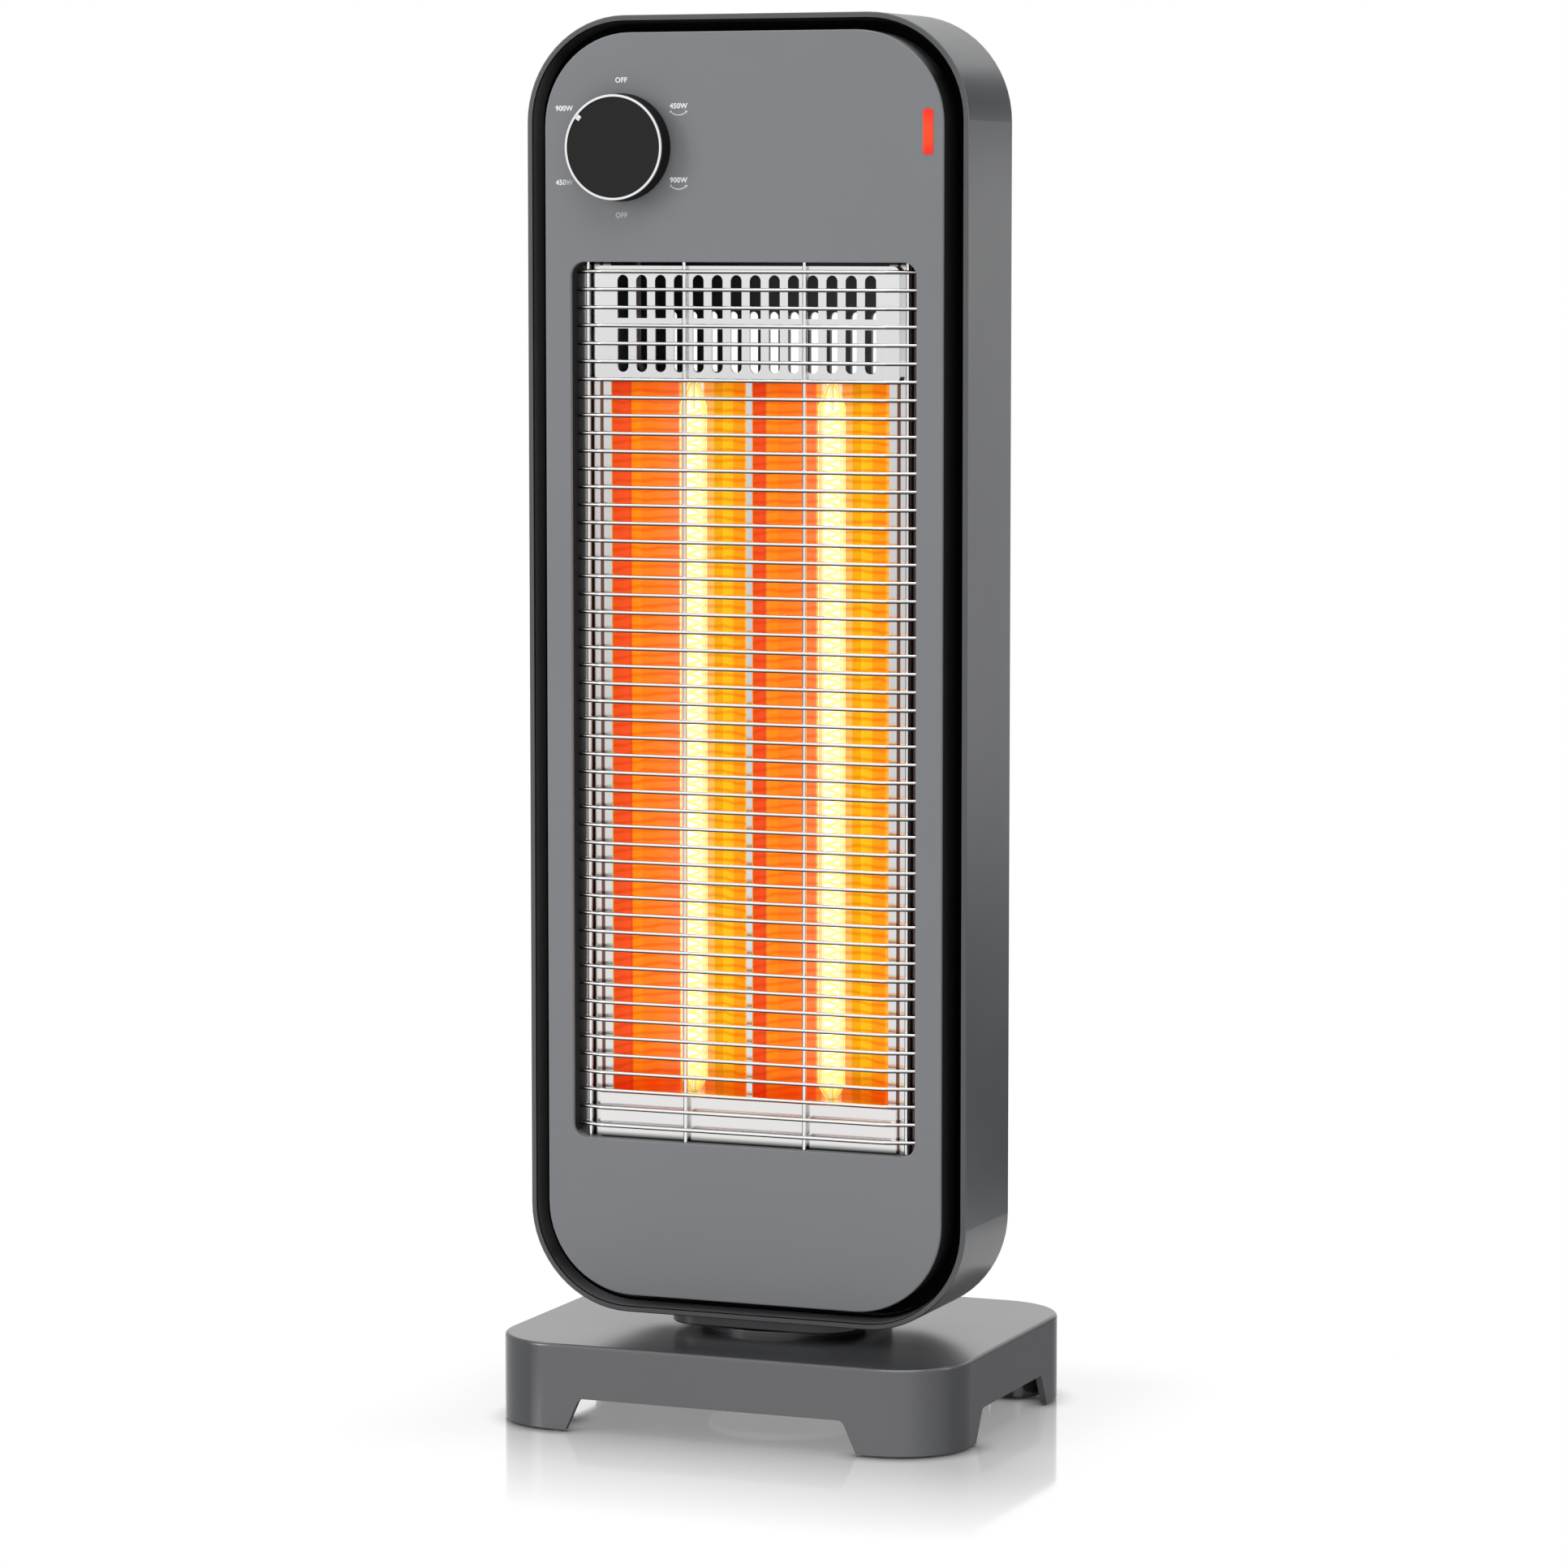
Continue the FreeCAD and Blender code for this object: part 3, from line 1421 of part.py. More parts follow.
def switch_leads():
    """From the upper tube bushes, up inside the side walls, to the rotary switch."""
    z = bush_seat + lead_radius + touch_gap
    turn_y = shield_back + lead_bend
    switch_z = knob_z - switch_height / 4
    leads = []
    for side, arrive in ((-1, -switch_width / 4), (1, switch_width / 4)):
        x = side * tube_x
        rise_z = switch_z + (side + 1) * lead_bend
        points = [
            Vec(x, tube_y + bush_radius + touch_gap, z),
            Vec(x, turn_y, z),
            Vec(side * lead_side_x, lead_side_y, z),
            Vec(side * lead_side_x, lead_side_y, rise_z),
            Vec(knob_x + arrive, lead_side_y, rise_z),
            Vec(knob_x + arrive, switch_back, rise_z),
        ]
        leads.append(bent_rod(points, lead_bend, lead_radius))
    return group(leads)


def tube_leads():
    """From the lower ends of the tubes, under the heat shield and up into the terminal block."""
    drop = reflector_bottom - lead_drop
    holes = block_hole_places()
    leads = []
    for x, x_end in ((-tube_x, holes[0]), (tube_x, holes[-1])):
        points = [
            Vec(x, tube_y, reflector_bottom),
            Vec(x, tube_y, drop),
            Vec(x_end, block_hole_y, drop),
            Vec(x_end, block_hole_y, block_z + block_height / 2),
        ]
        leads.append(bent_rod(points, lead_bend / 3, lead_radius))
    return group(leads)


def node_table():
    left = tube_glass()
    coil = filament()
    return {
        "base_shell": base_shell(),
        "rubber_feet": rubber_feet(),
        "hub_cap": hub_cap(),
        "hub_cap_screws": hub_cap_screws(),
        "fixed_gear": fixed_gear(),
        "slide_washer": slide_washer(),
        "swivel_neck": swivel_neck(),
        "swivel_hub": swivel_hub(),
        "hub_flange_screws": hub_flange_screws(),
        "hub_plate": hub_plate(),
        "hub_plate_screws": hub_plate_screws(),
        "drive_motor": drive_motor(),
        "motor_screws": motor_screws(),
        "motor_shaft": motor_shaft(),
        "drive_pinion": drive_pinion(),
        "casing": casing(),
        "rear_cover": rear_cover(),
        "rear_cover_screws": rear_cover_screws(),
        "front_frame": front_frame(),
        "frame_screws": frame_screws(),
        "front_panel": front_panel(),
        "guard_rods": guard_rods(),
        "guard_uprights": guard_uprights(),
        "vent_plate": vent_plate(),
        "lower_plate": lower_plate(),
        "reflector": reflector(),
        "reflector_screws": reflector_screws(),
        "heat_shield": heat_shield(),
        "left_tube_glass": moved(left, -tube_x, tube_y, 0),
        "right_tube_glass": moved(left, tube_x, tube_y, 0),
        "left_filament": moved(coil, -tube_x, tube_y, 0),
        "right_filament": moved(coil, tube_x, tube_y, 0),
        "left_tube_stems": tube_stems(-tube_x),
        "right_tube_stems": tube_stems(tube_x),
        "upper_tube_bushes": upper_tube_bushes(),
        "lower_tube_holders": lower_tube_holders(),
        "knob_body": knob_body(),
        "knob_ring": knob_ring(),
        "knob_pointer": knob_pointer(),
        "switch_shaft": switch_shaft(),
        "rotary_switch": rotary_switch(),
        "switch_nut": switch_nut(),
        "indicator_lens": indicator_lens(),
        "indicator_lamp": indicator_lamp(),
        "thermal_cutout": thermal_cutout(),
        "terminal_block": terminal_block(),
        "cord_gland": cord_gland(),
        "tip_bracket": tip_bracket(),
        "tip_pivot": tip_pivot(),
        "tip_weight": tip_weight(),
        "tip_microswitch": tip_microswitch(),
        "switch_leads": switch_leads(),
        "tube_leads": tube_leads(),
    }


os.makedirs("parts", exist_ok=True)
for node_name, node_shape in node_table().items():
    node_shape.exportStep("parts/" + node_name + ".step")
    sound = all(solid.isValid() for solid in node_shape.Solids)
    state = "sound" if sound else "NOT VALID"
    print(node_name, len(node_shape.Solids), "solids", round(node_shape.Volume), "mm3", state)
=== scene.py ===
# %% [markdown]
# The frame of a carbon heater: every solid piece arrives at its real size and in its
# real place. It could be modelled again by eye, but then the looks and the moving
# parts would drift apart, so the solids stay as they are and only get their finishes.

# %% Load the frame
import json
import math

import bmesh
import bpy
from mathutils import Euler, Matrix, Vector


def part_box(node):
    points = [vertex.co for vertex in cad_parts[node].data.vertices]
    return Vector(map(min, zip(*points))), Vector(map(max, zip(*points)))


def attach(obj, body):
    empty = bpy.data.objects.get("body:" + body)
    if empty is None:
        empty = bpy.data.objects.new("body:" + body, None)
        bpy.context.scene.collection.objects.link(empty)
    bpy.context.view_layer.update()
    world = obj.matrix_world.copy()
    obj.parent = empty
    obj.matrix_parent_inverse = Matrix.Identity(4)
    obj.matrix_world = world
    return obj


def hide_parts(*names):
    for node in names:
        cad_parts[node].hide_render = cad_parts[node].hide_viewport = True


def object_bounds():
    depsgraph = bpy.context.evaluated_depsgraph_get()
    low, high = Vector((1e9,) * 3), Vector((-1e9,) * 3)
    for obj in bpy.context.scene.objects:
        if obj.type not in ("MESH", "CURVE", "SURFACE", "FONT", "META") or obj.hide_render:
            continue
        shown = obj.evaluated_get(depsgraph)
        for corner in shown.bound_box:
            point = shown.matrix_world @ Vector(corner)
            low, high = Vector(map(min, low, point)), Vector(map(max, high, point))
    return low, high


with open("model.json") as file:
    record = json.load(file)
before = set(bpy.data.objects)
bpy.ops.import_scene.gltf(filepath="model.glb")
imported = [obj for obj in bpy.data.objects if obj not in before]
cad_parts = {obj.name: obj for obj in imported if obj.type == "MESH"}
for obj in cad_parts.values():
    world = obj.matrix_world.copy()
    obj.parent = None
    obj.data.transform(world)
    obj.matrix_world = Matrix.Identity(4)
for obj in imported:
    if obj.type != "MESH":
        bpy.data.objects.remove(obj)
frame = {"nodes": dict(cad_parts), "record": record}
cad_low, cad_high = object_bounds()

MM = 0.001
nodes = frame["nodes"]

# %% [markdown]
# The camera stands to the right of the heater, a little below its top, far away with a
# long lens. A short lens close by would make the base look too big, so the long lens
# keeps the tower's sides nearly parallel, as they look in the picture.

# %% Camera
lens_data = bpy.data.cameras.new("view_camera")
lens_data.sensor_width = 36.0
lens_data.lens = 132.47
view_camera = bpy.data.objects.new("view_camera", lens_data)
view_camera.location = (0.9259, -2.2933, 0.5134)
view_camera.rotation_euler = Euler((math.radians(84.43), 0.0, math.radians(21.981)))
bpy.context.scene.collection.objects.link(view_camera)
bpy.context.scene.camera = view_camera
bpy.context.scene.view_settings.view_transform = "Standard"
print("camera", tuple(round(v, 3) for v in view_camera.location))

# %% [markdown]
# Every finish is a tree of shader nodes. Adding and linking nodes by hand takes three
# lines each and hides what a finish does, so small functions stand for the common steps.
# Each takes sockets or plain values and gives back the socket that holds its result.


# %% Node helpers
def add_node(tree, kind, **values):
    """A shader node with socket values or properties set by name."""
    node = tree.nodes.new(kind)
    for key, value in values.items():
        name = key.replace("_", " ")
        if name in node.inputs:
            node.inputs[name].default_value = value
        else:
            setattr(node, key, value)
    return node


def plug(tree, socket, value):
    """Link another socket to this one, or set this one's own value."""
    if isinstance(value, bpy.types.NodeSocket):
        tree.links.new(value, socket)
    else:
        socket.default_value = value


def maths(tree, operation, *values):
    """The result of a Math node."""
    node = add_node(tree, "ShaderNodeMath", operation=operation)
    for socket, value in zip(node.inputs, values):
        plug(tree, socket, value)
    return node.outputs[0]


print("helpers ready")

# %% [markdown]
# The studio is a white room that gives an even soft light. The world could be one flat
# colour, but the picture's background is pure white while the object is lit plainly, so
# camera, glossy and transmission rays see white and all other rays get the softer level.

# %% World
WHITE = (1.0, 1.0, 1.0)


def seen_directly(tree, mirrored_share):
    """1 for rays from the camera or through glass, and a share for mirrored rays."""
    rays = tree.nodes.new("ShaderNodeLightPath").outputs
    mirrored = maths(tree, "MULTIPLY", rays["Is Glossy Ray"], mirrored_share)
    direct = maths(tree, "MAXIMUM", rays["Is Camera Ray"], mirrored)
    return maths(tree, "MAXIMUM", direct, rays["Is Transmission Ray"])


def mixed_shader(tree, share, first, second):
    """The first shader where share is 0, the second where it is 1."""
    node = tree.nodes.new("ShaderNodeMixShader")
    for socket, source in zip(node.inputs, (share, first.outputs[0], second.outputs[0])):
        tree.links.new(source, socket)
    return node


world = bpy.data.worlds.new("white_studio")
bpy.context.scene.world = world
world.use_nodes = True
sky = world.node_tree
sky.nodes.clear()
sky_out = sky.nodes.new("ShaderNodeOutputWorld")
soft_level = add_node(sky, "ShaderNodeBackground", Color=(*WHITE, 1.0), Strength=0.5)
white_level = add_node(sky, "ShaderNodeBackground", Color=(*WHITE, 1.0), Strength=1.0)
sky_mix = mixed_shader(sky, seen_directly(sky, 1.0), soft_level, white_level)
sky.links.new(sky_mix.outputs[0], sky_out.inputs[0])
print("world", world.name)

# %% [markdown]
# Two large soft panels add the gentle highlights along the rounded edges, and a small one
# brightens the right side. Bare bulbs would throw hard shadows, which the picture doesn't
# have, so all three are area lamps.


# %% Lamps
def panel_lamp(name, place, aim, width, height, watts):
    """A rectangular soft lamp at place, turned towards aim."""
    data = bpy.data.lights.new(name, "AREA")
    data.shape = "RECTANGLE"
    data.size = width
    data.size_y = height
    data.energy = watts
    lamp = bpy.data.objects.new(name, data)
    lamp.location = place
    lamp.rotation_euler = (Vector(aim) - Vector(place)).to_track_quat("-Z", "Y").to_euler()
    bpy.context.scene.collection.objects.link(lamp)
    return lamp


panel_lamp("top_lamp", (0.2, -0.6, 2.2), (0.0, 0.0, 0.3), width=1.6, height=1.6, watts=16.0)
panel_lamp("left_lamp", (-1.8, -1.6, 1.3), (0.0, 0.0, 0.4), width=0.9, height=1.6, watts=18.0)
panel_lamp("right_lamp", (1.1, 0.25, 0.72), (0.0, 0.0, 0.5), width=0.3, height=0.5, watts=2.6)

# %% [markdown]
# The floor is one large flat sheet. What a spot on it shows depends on how far it lies
# from the base and from the swivel's axis. A painted mask would fit one size only, so both
# distances are worked out from the sheet's own coordinates.


# %% Floor sheet
def coordinates(tree, kind="Object"):
    """The surface's own coordinates, or its normal."""
    return tree.nodes.new("ShaderNodeTexCoord").outputs[kind]


def vector_maths(tree, operation, *values):
    """The result of a Vector Math node."""
    node = add_node(tree, "ShaderNodeVectorMath", operation=operation)
    for socket, value in zip(node.inputs, values):
        plug(tree, socket, value)
    return node.outputs["Value" if operation == "LENGTH" else "Vector"]


floor_mesh = bpy.data.meshes.new("studio_floor")
shape = bmesh.new()
bmesh.ops.create_grid(shape, x_segments=1, y_segments=1, size=30.0)
shape.to_mesh(floor_mesh)
shape.free()
studio_floor = bpy.data.objects.new("studio_floor", floor_mesh)
bpy.context.scene.collection.objects.link(studio_floor)

floor_paint = bpy.data.materials.new("floor_paint")
floor_paint.use_nodes = True
tree = floor_paint.node_tree
tree.nodes.clear()
output = tree.nodes.new("ShaderNodeOutputMaterial")
place = coordinates(tree)
one_side = vector_maths(tree, "ABSOLUTE", place)
past_base = vector_maths(tree, "SUBTRACT", one_side, (cad_high.x, cad_high.y, 0.0))
outside = vector_maths(tree, "MAXIMUM", past_base, (0.0, 0.0, 0.0))
from_base = vector_maths(tree, "LENGTH", outside)
from_axis = vector_maths(tree, "LENGTH", place)
print("floor sheet", floor_mesh.name)

# %% [markdown]
# The floor is pale and polished: it shows a soft mirror image of the base and a thin
# shadow at its feet. A plain diffuse floor loses the mirror image and turns grey under
# soft light, so three shares are mixed: the white of the room, a matt share that takes
# the shadow, and a polished share that mirrors. The white darkens in the crease round
# each foot, where hardly any light gets in.


# %% Floor paint
def mapped(tree, value, low, high, to_low=0.0, to_high=1.0, smooth=False):
    """A value mapped from one range to another."""
    node = add_node(
        tree, "ShaderNodeMapRange", From_Min=low, From_Max=high, To_Min=to_low, To_Max=to_high
    )
    if smooth:
        node.interpolation_type = "SMOOTHSTEP"
    plug(tree, node.inputs["Value"], value)
    return node.outputs["Result"]


def mixed_value(tree, share, first, second):
    """The first value where share is 0, the second where it is 1."""
    node = add_node(tree, "ShaderNodeMix", data_type="FLOAT")
    for name, value in (("Factor", share), ("A", first), ("B", second)):
        plug(tree, node.inputs[name], value)
    return node.outputs[0]


contact = add_node(tree, "ShaderNodeAmbientOcclusion", Distance=11.0 * MM)
crease = mapped(tree, contact.outputs["AO"], 0.5, 0.97, to_low=0.12)
near_feet = mapped(tree, from_axis, 50.0 * MM, 70.0 * MM)
white = add_node(tree, "ShaderNodeEmission", Color=(*WHITE, 1.0))
plug(tree, white.inputs["Strength"], mixed_value(tree, near_feet, 1.0, crease))
matt = add_node(tree, "ShaderNodeBsdfDiffuse", Color=(0.95, 0.95, 0.95, 1.0))
mirror = add_node(tree, "ShaderNodeBsdfAnisotropic", Color=(*WHITE, 1.0), Roughness=0.07)

shadow_fade = mapped(tree, from_base, 0.0, 70.0 * MM, to_low=0.55, smooth=True)
white_share = maths(tree, "MULTIPLY", seen_directly(tree, 0.4), shadow_fade)
mirror_share = mapped(tree, from_base, 0.0, 140.0 * MM, to_low=0.52, to_high=0.0)
ground = mixed_shader(tree, white_share, matt, white)
polished = mixed_shader(tree, mirror_share, ground, mirror)
tree.links.new(polished.outputs[0], output.inputs[0])
floor_mesh.materials.append(floor_paint)
print("floor laid")

# %% [markdown]
# A studio keeps dark cards just out of the picture: polished sides mirror them, and that
# gives the right side its fade towards the foot and the top corner its dark line. A fade
# painted on would be wrong from every other side, so two cards are set behind the heater.
# The low one lies flat, because a standing one would show in the floor's own mirror.


# %% Dark cards
def new_material(name):
    """A material with a Principled shader on its output."""
    material = bpy.data.materials.new(name)
    material.use_nodes = True
    tree = material.node_tree
    tree.nodes.clear()
    output = tree.nodes.new("ShaderNodeOutputMaterial")
    shader = tree.nodes.new("ShaderNodeBsdfPrincipled")
    tree.links.new(shader.outputs[0], output.inputs[0])
    return material, tree, shader


card_paint, tree, shader = new_material("card_black")
shader.inputs["Base Color"].default_value = (0.02, 0.02, 0.02, 1.0)
shader.inputs["Roughness"].default_value = 1.0


def dark_card(name, place, aim, width, height):
    """A card that only reflections can see."""
    mesh = bpy.data.meshes.new(name)
    shape = bmesh.new()
    bmesh.ops.create_grid(shape, x_segments=1, y_segments=1, size=0.5)
    bmesh.ops.scale(shape, vec=(width, height, 1.0), verts=shape.verts[:])
    turn = (Vector(aim) - Vector(place)).to_track_quat("Z", "Y").to_matrix().to_4x4()
    spot = Matrix.Translation(Vector(place)) @ turn
    bmesh.ops.transform(shape, matrix=spot, verts=shape.verts[:])
    shape.to_mesh(mesh)
    shape.free()
    mesh.materials.append(card_paint)
    card = bpy.data.objects.new(name, mesh)
    card.visible_camera = False
    card.visible_diffuse = False
    card.visible_shadow = False
    card.visible_transmission = False
    bpy.context.scene.collection.objects.link(card)
    return card


dark_card("low_card", (0.75, 1.15, 0.004), (0.75, 1.15, 1.0), width=1.2, height=1.5)
dark_card("high_card", (0.42, 0.52, 0.68), (0.10, 0.0, 0.56), width=0.5, height=0.22)
print("cards set")

# %% [markdown]
# Moulded plastic is never one flat colour: its tool leaves a fine grain, and the colour
# wanders a little. A picture of grain could be wrapped on, but noise in the object's own
# space needs no unwrapping and has the right scale everywhere. It is built once as a
# node group and placed in every moulded finish with its own values.


# %% Group for moulded grain
def node_group(name, inputs, outputs):
    """A node group with named sockets; gives the group, what goes in and what comes out."""
    group = bpy.data.node_groups.new(name, "ShaderNodeTree")
    for way, sockets in (("INPUT", inputs), ("OUTPUT", outputs)):
        for label, kind in sockets:
            group.interface.new_socket(label, in_out=way, socket_type="NodeSocket" + kind)
    way_in = group.nodes.new("NodeGroupInput")
    way_out = group.nodes.new("NodeGroupOutput")
    return group, way_in.outputs, way_out.inputs


def noise(tree, vector, scale, detail=2.0):
    """Noise of a scale and detail."""
    node = add_node(tree, "ShaderNodeTexNoise", Scale=scale, Detail=detail)
    tree.links.new(vector, node.inputs["Vector"])
    return node.outputs[0]


def scaled(tree, colour, amount):
    """A colour times a value."""
    node = add_node(tree, "ShaderNodeVectorMath", operation="SCALE")
    plug(tree, node.inputs[0], colour)
    plug(tree, node.inputs["Scale"], amount)
    return node.outputs[0]


grain_group, given, result = node_group(
    "moulded_grain",
    (("Tint", "Color"), ("Mottle", "Float"), ("Gloss", "Float")),
    (("Colour", "Color"), ("Roughness", "Float"), ("Height", "Float")),
)
gloss_swing = 0.16
spot = coordinates(grain_group)
cloud = maths(grain_group, "SUBTRACT", noise(grain_group, spot, scale=14.0, detail=4.0), 0.5)
swing = maths(grain_group, "MULTIPLY_ADD", cloud, given["Mottle"], 1.0)
sheen = maths(grain_group, "MULTIPLY_ADD", cloud, gloss_swing, given["Gloss"])
plug(grain_group, result["Colour"], scaled(grain_group, given["Tint"], swing))
plug(grain_group, result["Roughness"], sheen)
plug(grain_group, result["Height"], noise(grain_group, spot, scale=2600.0))
print("group", grain_group.name)

# %% [markdown]
# Each moulded colour is the same recipe with its own tint, gloss and depth of grain.
# Writing the nodes out for every colour would hide that, so one function makes them all.

# %% Moulded finishes
grain_depth = 0.2 * MM


def moulded(name, tint, gloss, mottle=0.12, depth=0.05, shine=0.5):
    """Grained plastic, rubber or ceramic of one tint."""
    material, tree, shader = new_material(name)
    shader.inputs["Specular IOR Level"].default_value = shine
    grain = tree.nodes.new("ShaderNodeGroup")
    grain.node_tree = grain_group
    grain.inputs["Tint"].default_value = (*tint, 1.0)
    grain.inputs["Mottle"].default_value = mottle
    grain.inputs["Gloss"].default_value = gloss
    bump = add_node(tree, "ShaderNodeBump", Strength=depth, Distance=grain_depth)
    tree.links.new(grain.outputs["Colour"], shader.inputs["Base Color"])
    tree.links.new(grain.outputs["Roughness"], shader.inputs["Roughness"])
    tree.links.new(grain.outputs["Height"], bump.inputs["Height"])
    tree.links.new(bump.outputs["Normal"], shader.inputs["Normal"])
    return material


base_tint = (0.084, 0.086, 0.092)
casing_tint = (0.062, 0.065, 0.070)
# The frame's tint is the level of its painted lit floor; painted shade darkens its front and
# walls below.
frame_lit_tint = (0.280, 0.285, 0.295)
panel_tint = (0.205, 0.213, 0.225)
base_grey = moulded("base_grey", base_tint, gloss=0.17, depth=0.02, shine=1.0)
casing_grey = moulded("casing_grey", casing_tint, gloss=0.32, depth=0.03, shine=0.8)
frame_black = moulded("frame_black", frame_lit_tint, gloss=0.5, mottle=0.2, depth=0.04, shine=0.03)
soft_black = {"tint": (0.010, 0.0103, 0.011), "gloss": 0.6, "mottle": 0.2, "shine": 0.2}
knob_black = moulded("knob_black", **soft_black)
finishes = {
    "base_plastic": base_grey,
    "casing_plastic": casing_grey,
    "panel_plastic": moulded("panel_grey", panel_tint, gloss=0.42, mottle=0.08, depth=0.03),
    "black_plastic": moulded("soft_black", **soft_black),
    "pale_plastic": moulded("natural_nylon", (0.72, 0.71, 0.66), gloss=0.45),
    "white_plastic": moulded("pointer_white", (0.85, 0.85, 0.85), gloss=0.35),
    "rubber": moulded("foot_rubber", (0.022, 0.022, 0.022), gloss=0.8, mottle=0.3, depth=0.2),
    "ceramic": moulded("steatite", (0.80, 0.77, 0.70), gloss=0.7, mottle=0.15, depth=0.15),
    "lead_insulation": moulded(
        "woven_sleeving", (0.68, 0.66, 0.60), gloss=0.85, mottle=0.3, depth=0.3
    ),
}
print("moulded finishes", len(finishes))

# %% [markdown]
# In the picture the base's top and right side are darker than the rest and its corners
# less shiny, the casing is darker below, and the knob's side and the frame's front go
# nearly black. The even studio light doesn't give that, so it is painted: painted shade
# by facing, and on the base a painted sheen. A painted mask would need unwrapping, so the
# level of a finish follows the way its surface faces.


# %% Painted shade and sheen by facing
def shader_of(material):
    """A material's Principled shader."""
    return next(n for n in material.node_tree.nodes if n.type == "BSDF_PRINCIPLED")


def parts_of(tree, vector):
    """The X, Y and Z outputs of a vector."""
    split = tree.nodes.new("ShaderNodeSeparateXYZ")
    tree.links.new(vector, split.inputs[0])
    return split.outputs


def colour_ramp(tree, value, stops):
    """The colour at a value among (position, colour) stops."""
    ramp = tree.nodes.new("ShaderNodeValToRGB")
    elements = ramp.color_ramp.elements
    while len(elements) < len(stops):
        elements.new(0.5)
    for element, (position, colour) in zip(elements, stops):
        element.position = position
        element.color = (*colour, 1.0)
    plug(tree, ramp.inputs[0], value)
    return ramp.outputs[0]


def grey_ramp(tree, value, stops):
    """The level at a value among (position, level) stops."""
    greys = [(position, (level, level, level)) for position, level in stops]
    return colour_ramp(tree, value, greys)


def level_by_facing(material, axis, stops):
    """A level that follows the way the surface faces: 0 is against the axis, 1 along it."""
    tree = material.node_tree
    facing = parts_of(tree, coordinates(tree, "Normal"))[axis]
    return grey_ramp(tree, mapped(tree, facing, -1.0, 1.0), stops)


def dim_colour(material, amount):
    """Scale the colour that a finish has so far."""
    tree = material.node_tree
    colour = shader_of(material).inputs["Base Color"]
    plug(tree, colour, scaled(tree, colour.links[0].from_socket, amount))


def shade_by_facing(material, axis, *stops):
    """Paint shade on a finish's colour by the way the surface faces."""
    dim_colour(material, level_by_facing(material, axis, stops))


# Painted shade: the knob's side, the frame's front, the base's right side and top, and the
# casing's underside.
shade_by_facing(knob_black, "Y", (0.0, 1.0), (0.04, 1.0), (0.2, 0.25), (1.0, 0.25))
shade_by_facing(frame_black, "Y", (0.0, 0.04), (0.1, 0.04), (0.3, 1.0), (1.0, 1.0))
shade_by_facing(base_grey, "X", (0.0, 1.0), (0.9, 1.0), (0.99, 0.78), (1.0, 0.78))
shade_by_facing(base_grey, "Z", (0.0, 1.0), (0.85, 1.0), (0.98, 0.55), (1.0, 0.55))
shade_by_facing(casing_grey, "Z", (0.0, 0.2), (0.12, 0.3), (0.42, 1.0), (1.0, 1.0))
# Painted sheen: the base's reflection level follows its facing, low on its left corner and its
# right side.
painted_sheen = level_by_facing(base_grey, "X", (
    (0.0, 1.0), (0.05, 1.0), (0.1, 0.15), (0.35, 0.15),
    (0.45, 1.0), (0.72, 1.0), (0.95, 0.06), (1.0, 0.04),
))
plug(base_grey.node_tree, shader_of(base_grey).inputs["Specular IOR Level"], painted_sheen)
print("levels set on", base_grey.name, casing_grey.name)

# %% [markdown]
# The black frame lines a deep groove round the panel and the window's edge. In the picture
# its floor and its outer left wall look charcoal and the other walls nearly black. One
# colour for all would lose that, so the tint follows the wall as painted light and shade:
# the floor and the outer left wall are painted lit, the other walls painted in shade.

# %% Painted light and shade on the frame walls
# Painted light and shade: lit on the floor and the outer left wall, in shade on the other walls.
outer_wall, inner_wall = -94.0 * MM, -86.0 * MM
lit_wall_level, shaded_wall_level = 0.34, 0.1
tree = frame_black.node_tree
upward = mapped(tree, parts_of(tree, coordinates(tree, "Normal"))["Z"], 0.5, 0.9)
across = parts_of(tree, coordinates(tree))["X"]
wall_light_and_shade = mapped(tree, across, outer_wall, inner_wall, lit_wall_level, shaded_wall_level)
dim_colour(frame_black, mixed_value(tree, upward, wall_light_and_shade, 1.0))
print("frame walls", frame_black.name)

# %% [markdown]
# Rolled and drawn metal has faint streaks along its rolling direction. An image of
# brushing would do, but noise stretched by a Mapping node gives endless streaks, and one
# node group serves the plated wire, the screws and the polished sheet.

# %% Group for metal streaks
streak_group, given, result = node_group(
    "metal_streaks",
    (("Gloss", "Float"), ("Spread", "Float")),
    (("Roughness", "Float"), ("Height", "Float")),
)
stretch = add_node(streak_group, "ShaderNodeMapping", Scale=(900.0, 900.0, 12.0))
plug(streak_group, stretch.inputs["Vector"], coordinates(streak_group))
streaks = noise(streak_group, stretch.outputs[0], scale=1.0, detail=3.0)
spread = maths(streak_group, "MULTIPLY_ADD", streaks, given["Spread"], given["Gloss"])
plug(streak_group, result["Roughness"], spread)
plug(streak_group, result["Height"], streaks)


def streaked(tree, gloss, spread):
    """The streaks of one metal."""
    group = tree.nodes.new("ShaderNodeGroup")
    group.node_tree = streak_group
    group.inputs["Gloss"].default_value = gloss
    group.inputs["Spread"].default_value = spread
    return group.outputs


def metal(name, tint, gloss, spread, depth=0.02):
    """Streaked metal of one tint."""
    material, tree, shader = new_material(name)
    shader.inputs["Base Color"].default_value = (*tint, 1.0)
    shader.inputs["Metallic"].default_value = 1.0
    streaks = streaked(tree, gloss, spread)
    bump = add_node(tree, "ShaderNodeBump", Strength=depth, Distance=grain_depth)
    tree.links.new(streaks["Roughness"], shader.inputs["Roughness"])
    tree.links.new(streaks["Height"], bump.inputs["Height"])
    tree.links.new(bump.outputs["Normal"], shader.inputs["Normal"])
    return material


